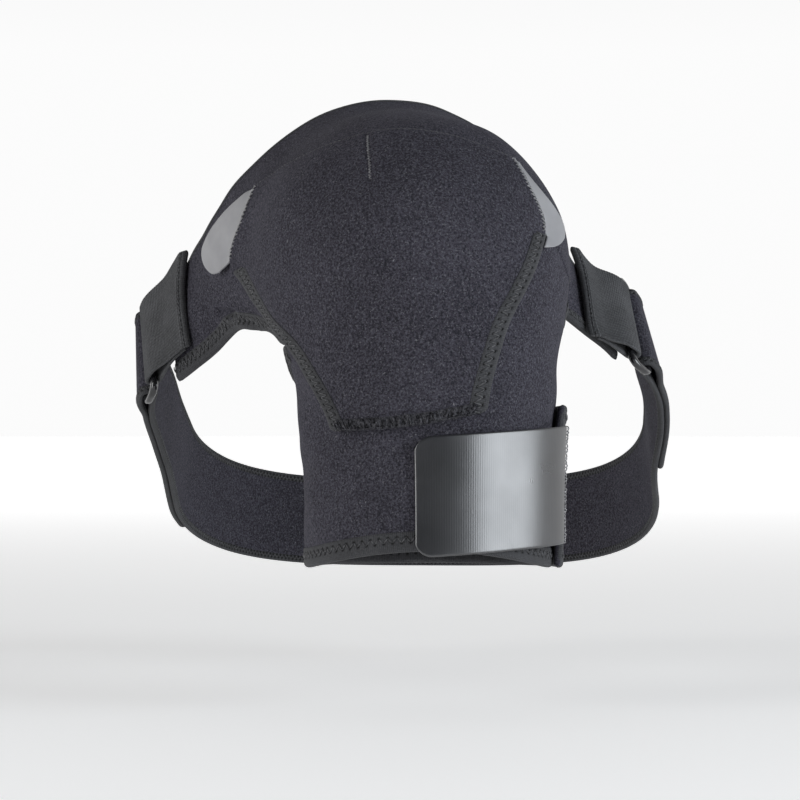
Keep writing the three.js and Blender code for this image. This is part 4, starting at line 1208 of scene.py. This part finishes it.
def fold_line(stations, pitch):
    """Stations (along, level, slant, end) of a folded band resampled a pitch apart, with their side way."""
    stations = np.array(stations, float)
    run = run_along(stations[:, :2])
    wanted = np.linspace(0, run[-1], int(run[-1] / pitch) + 2)
    fine = at_runs(stations, run, wanted)
    way = np.gradient(fine[:, :2], axis=0)
    way /= np.linalg.norm(way, axis=1, keepdims=True)
    side = np.stack([-way[:, 1], way[:, 0]], -1)
    return fine, side, wanted


def half_turn(s, radius, way):
    angle = -math.pi / 2 + math.pi * np.arange(15) / 14
    return [(s + way * radius * math.cos(a), RING_LEVEL + radius * math.sin(a)) for a in angle]


def outer_level(distance, rest, radius):
    """The level of a folded band's outer layer at a distance from its bar, where it leaves the bend."""
    return rest + (RING_LEVEL + radius - rest) * float(smooth(1 - max(0, distance - RING_ROD) / LEG_BLEND))


def ribbon(name, stations, thickness, pitch, half_width, columns, material, ribbed=0.0):
    """A folded band; half_width takes the stations and gives half their widths."""
    fine, side, run = fold_line(stations, pitch)
    half = half_width(fine)
    spread = spread_out((1, 0.995, 0.98, 0.955), 0.92, columns)
    across = spread[None] * half[:, None]
    edge = np.minimum((1 - np.abs(spread))[None] * half[:, None], np.minimum(run, run[-1] - run)[:, None])
    soft = pinned(rounded(edge, 0.7))
    rib = ribbed * np.sin(2 * np.pi * run / WEBBING_RIB)[:, None]
    depth = (thickness / 2 + rib) * soft
    slanted = fine[:, 2:3] * across
    grids = []
    for sign in (1, -1):
        s = fine[:, 0:1] + sign * side[:, 0:1] * depth + slanted
        d = fine[:, 1:2] + sign * side[:, 1:2] * depth
        grids.append(place(s, across, d))
    shell(name, *grids, material, joined(run[:, None], across))
    return run, grids


def band(name, sewn, bar, way, slant):
    radius = BEND_RADIUS + BAND_THICKNESS / 2
    low = RING_LEVEL - radius
    rest = low + BAND_THICKNESS + GAP
    u = np.arange(13) / 12
    start = sewn + way * BAND_TUCK[-1][0]
    s = start + (bar - way * RING_ROD - start) * u
    inner = [(a, low, slant * (1 - b), 0) for a, b in zip(s, u)]
    end = [(start - way * a, low + (rest - low) * b, slant, 0) for a, b in BAND_TUCK]
    outer = [(a, outer_level(abs(bar - a), rest, radius), slant * (1 - b), 0) for a, b in zip(s, u)][::-1]
    stations = inner + [(a, b, 0, 0) for a, b in half_turn(bar, radius, way)] + outer + end
    half = BAND_WIDTH / 2
    run, grids = ribbon(
        name, stations, BAND_THICKNESS, 0.3, lambda f: np.full(len(f), half), 20, WEBBING_FINISH, 0.09)
    top = max(grids, key=lambda grid: np.linalg.norm(grid[-20, 10] - CHEST_MIDDLE))
    i = int(np.searchsorted(run, run[-1] - 2.4))
    normal = body_normal(top[i])
    running(name + "_stitches", top[i, 2:-2], normal[2:-2], 2.3, THREAD_FINISH, 0.26, 0.12)
    across = np.linspace(-half, half, 60)
    end_s = sewn + slant * across
    end_low, end_high = BAND_FLOOR - 0.1, low + BAND_THICKNESS / 2 + 0.45
    middle, tall = (end_low + end_high) / 2, (end_high - end_low) / 2
    rows = np.stack([place(end_s + way * (0.1 + 0.7 * math.cos(turn)), across, middle + tall * math.sin(turn))
                     for turn in 2 * math.pi * np.arange(12) / 12], 1)
    sweep(name + "_end", rows, TAPE_FINISHES[None], joined((across + half)[:, None], np.arange(12) * 0.6))


def ring(name, bar, way):
    middle = bar + way * RING_BAR_SPACING / 2
    half_long = max(BAND_WIDTH, STRAP_WIDTH) / 2 + RING_SIDE_CLEARANCE + RING_ROD / 2
    half_short = RING_BAR_SPACING / 2
    corner = 4.0
    path = []
    quadrants = [(1, 1), (-1, 1), (-1, -1), (1, -1)]
    for quarter, (a, b) in enumerate(quadrants):
        for k in range(9):
            angle = math.pi / 2 * (quarter + k / 8)
            path.append((angle, a * (half_short - corner), b * (half_long - corner)))
        nxt = quadrants[(quarter + 1) % 4]
        for k in range(1, 12):
            t = k / 12
            path.append((math.pi / 2 * (quarter + 1), (a * (1 - t) + nxt[0] * t) * (half_short - corner),
                         (b * (1 - t) + nxt[1] * t) * (half_long - corner)))
    rows = []
    rod = RING_ROD / 2
    turns = 2 * math.pi * np.arange(16) / 16
    squared, raised = (np.sign(v) * np.abs(v) ** 0.75 for v in (np.cos(turns), np.sin(turns)))
    out = corner + rod * squared
    for angle, s, w in path:
        s, w = middle + s + out * math.cos(angle), w + out * math.sin(angle)
        rows.append(place(s, w, RING_LEVEL + rod * raised))
    sweep(name, np.array(rows), RING_FINISH, closed=True)


def strap(back_bar, front_bar):
    radius = BEND_RADIUS + STRAP_THICKNESS / 2
    low = RING_LEVEL - radius

    def tail(bar, way, length):
        along = RING_ROD + (length - RING_ROD) * np.arange(41)[::-1] / 40
        rest = low + STRAP_THICKNESS + GAP
        return [(bar + way * a, outer_level(a, rest, radius), 0, length - a) for a in along]

    whole = 60.0
    main = [(s, low, 0, whole) for s in np.linspace(back_bar, front_bar, 200)[1:-1]]
    stations = (
        tail(back_bar, 1, BACK_TAIL)
        + [(a, b, 0, whole) for a, b in half_turn(back_bar, radius, -1)[::-1]]
        + main
        + [(a, b, 0, whole) for a, b in half_turn(front_bar, radius, 1)]
        + tail(front_bar, -1, FRONT_TAIL)[::-1]
    )

    def half_width(fine):
        short = np.maximum(0, STRAP_CORNER - fine[:, 3])
        return STRAP_WIDTH / 2 - STRAP_CORNER + np.sqrt(np.maximum(0.01, STRAP_CORNER**2 - short**2))

    ribbon("strap_cloth", stations, STRAP_THICKNESS - 0.1, 1.7, lambda f: half_width(f) - 1.0, 22,
           CLOTH_FINISH)
    fine, side, _ = fold_line(stations, 0.8)
    half = half_width(fine)
    thick = STRAP_THICKNESS / 2 + 0.12
    for name, sign in (("strap_edge_upper", 1), ("strap_edge_lower", -1)):
        def rail(inward, depth):
            s, level = (fine[:, :2] + side * depth).T
            return place(s, sign * (half - inward), level)

        face = [(STRAP_TAPE_WIDTH, thick - 0.25), (STRAP_TAPE_WIDTH - 0.4, thick), (2.6, thick + 0.05)]
        bend = [(thick + thick * math.cos(turn), thick * math.sin(turn))
                for turn in math.pi / 2 + math.pi * np.arange(7) / 6]
        profile = face + bend + [(inward, -depth) for inward, depth in face[::-1]]
        rows = np.stack([rail(*at) for at in profile], 1)
        pitch, inwards = STRAP_ZIGZAG
        centre = rail(2.6, 0)
        uv = joined(stitch_run(centre, pitch)[:, None], np.array([inward for inward, _ in profile]))
        sweep(name, rows, TAPE_FINISHES[STRAP_ZIGZAG], uv)
        for face_name, depth in (("outer", -thick), ("inner", thick)):
            rails = [rail(inward, depth) for inward in inwards]
            outward = np.cross(np.gradient(rails[0], axis=0), rails[1] - rails[0])
            outward *= np.sign((outward * (rails[0] - centre)).sum(-1, keepdims=True))
            zigzag(f"{name}_{face_name}_stitches", *rails, unit(outward), pitch, THREAD_FINISH, 0.22, 0.1)


front_ring_at = LINE_LENGTH - BAND_FRONT["ring"]
band("band_back_web", BAND_BACK["sewn"], BAND_BACK["ring"], 1, BAND_BACK["slant"])
band("band_front_web", LINE_LENGTH - BAND_FRONT["sewn"], front_ring_at, -1, BAND_FRONT["slant"])
ring("ring_back_moulded", BAND_BACK["ring"], 1)
ring("ring_front_moulded", front_ring_at, -1)
strap(BAND_BACK["ring"] + RING_BAR_SPACING, front_ring_at - RING_BAR_SPACING)

# What each piece stands for; those imported parts are hidden

STANDS_FOR = {
    "yoke_cloth": "yoke",
    "neck_edge": "neck_binding",
    "back_wing_edge": "wing_binding_back",
    "front_wing_edge": "wing_binding_front",
    "sleeve_cloth": "arm_sleeve",
    "hem_edge": "sleeve_hem_binding",
    "armpit_edge": "armpit_binding",
    "armhole_front_edge": "armhole_binding_front",
    "sleeve_end_edge": "sleeve_end_binding",
    "panel_cloth": "shoulder_panel",
    "panel_back_edge": "panel_binding_back",
    "panel_front_edge": "panel_binding_front",
    "panel_bottom_edge": "panel_bottom_band",
    "flap_back_cloth": "flap_back",
    "flap_front_cloth": "flap_front",
    "tab_cloth": "closure_tab",
    "band_back_web": "band_back",
    "band_front_web": "band_front",
    "ring_back_moulded": "ring_back",
    "ring_front_moulded": "ring_front",
    "strap_cloth": "chest_strap",
    "strap_edge_upper": "strap_binding_upper",
    "strap_edge_lower": "strap_binding_lower",
}
for name, node in STANDS_FOR.items():
    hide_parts(node)

# Floor, light and camera

FLOOR_RADIUS, FLOOR_GAP = 12, 0.05  # metres


def stage():
    floor_level = CAD_BOX[0][2] - FLOOR_GAP
    mesh = bpy.data.meshes.new("floor")
    turns = 2 * math.pi * np.arange(96) / 96
    ring_points = [(FLOOR_RADIUS * math.cos(t), FLOOR_RADIUS * math.sin(t), floor_level) for t in turns]
    mesh.from_pydata(ring_points, [], [tuple(range(96))])
    floor = bpy.data.objects.new("floor", mesh)
    bpy.context.scene.collection.objects.link(floor)
    material, nodes, shader = new_material("floor", 0.8, (0.9, 0.9, 0.9))
    tone = nodes.ramp(nodes.noise(1.5, 2.0), 0.3, 0.7)
    nodes.link(nodes.mix(tone, (0.89, 0.89, 0.89), (0.92, 0.92, 0.92)), "Base Color")
    shader.inputs["Emission Color"].default_value = (1, 1, 1, 1)
    nodes.link(nodes.ramp(nodes.parts("Object")[1], 0.3, 3.0, 0.33, 0.77), "Emission Strength")
    mesh.materials.append(material)


def area_light(name, at, aim, size, watts, colour=(1, 1, 1)):
    data = bpy.data.lights.new(name, "AREA")
    data.shape = "RECTANGLE"
    data.size, data.size_y = size
    data.energy = watts
    data.color = colour
    light = bpy.data.objects.new(name, data)
    bpy.context.scene.collection.objects.link(light)
    light.location = at
    light.rotation_euler = (Vector(aim) - Vector(at)).to_track_quat("-Z", "Y").to_euler()


def studio():
    """A pale room that is darker overhead and in front, with a tall soft box on each side."""
    world = bpy.data.worlds.new("world")
    world.use_nodes = True
    tree = world.node_tree
    nodes = Nodes(tree, tree.nodes["Background"])
    _, y, z = nodes.parts("Generated")
    above = nodes.ramp(z, 0.1, 0.75, 1.0, 0.16)
    behind = nodes.ramp(y, -0.7, 0.0, 0.1, 1.0)
    colour = nodes.mix(nodes.times(above, behind), (0, 0, 0), (1.0, 1.0, 1.0))
    nodes.link(colour, "Color")
    nodes.shader.inputs["Strength"].default_value = 0.97
    bpy.context.scene.world = world
    middle = (0.02, 0.0, -0.14)
    area_light("soft_box_right", (1.72, -0.95, -0.1), middle, (1.35, 1.8), 52, (0.9, 0.95, 1.0))
    area_light("soft_box_left", (-1.6, -1.1, 0.1), middle, (1.0, 1.6), 24)


FOCAL_PIXELS, PHOTO_PIXELS = 3478.26, 800
SENSOR_WIDTH = 36
CAMERA_AWAY = 1600.0  # millimetres in front of the body's middle
stage()
studio()
camera_data = bpy.data.cameras.new("camera")
camera_data.sensor_width = SENSOR_WIDTH
camera_data.lens = FOCAL_PIXELS * SENSOR_WIDTH / PHOTO_PIXELS
camera_data.clip_end = 50
camera = bpy.data.objects.new("camera", camera_data)
camera.location = (np.array([0, -CAMERA_AWAY, 0]) - SEAT) * 0.001
camera.rotation_euler = (math.pi / 2, 0, 0)
bpy.context.scene.collection.objects.link(camera)
bpy.context.scene.camera = camera
bpy.context.scene.view_settings.view_transform = "Standard"
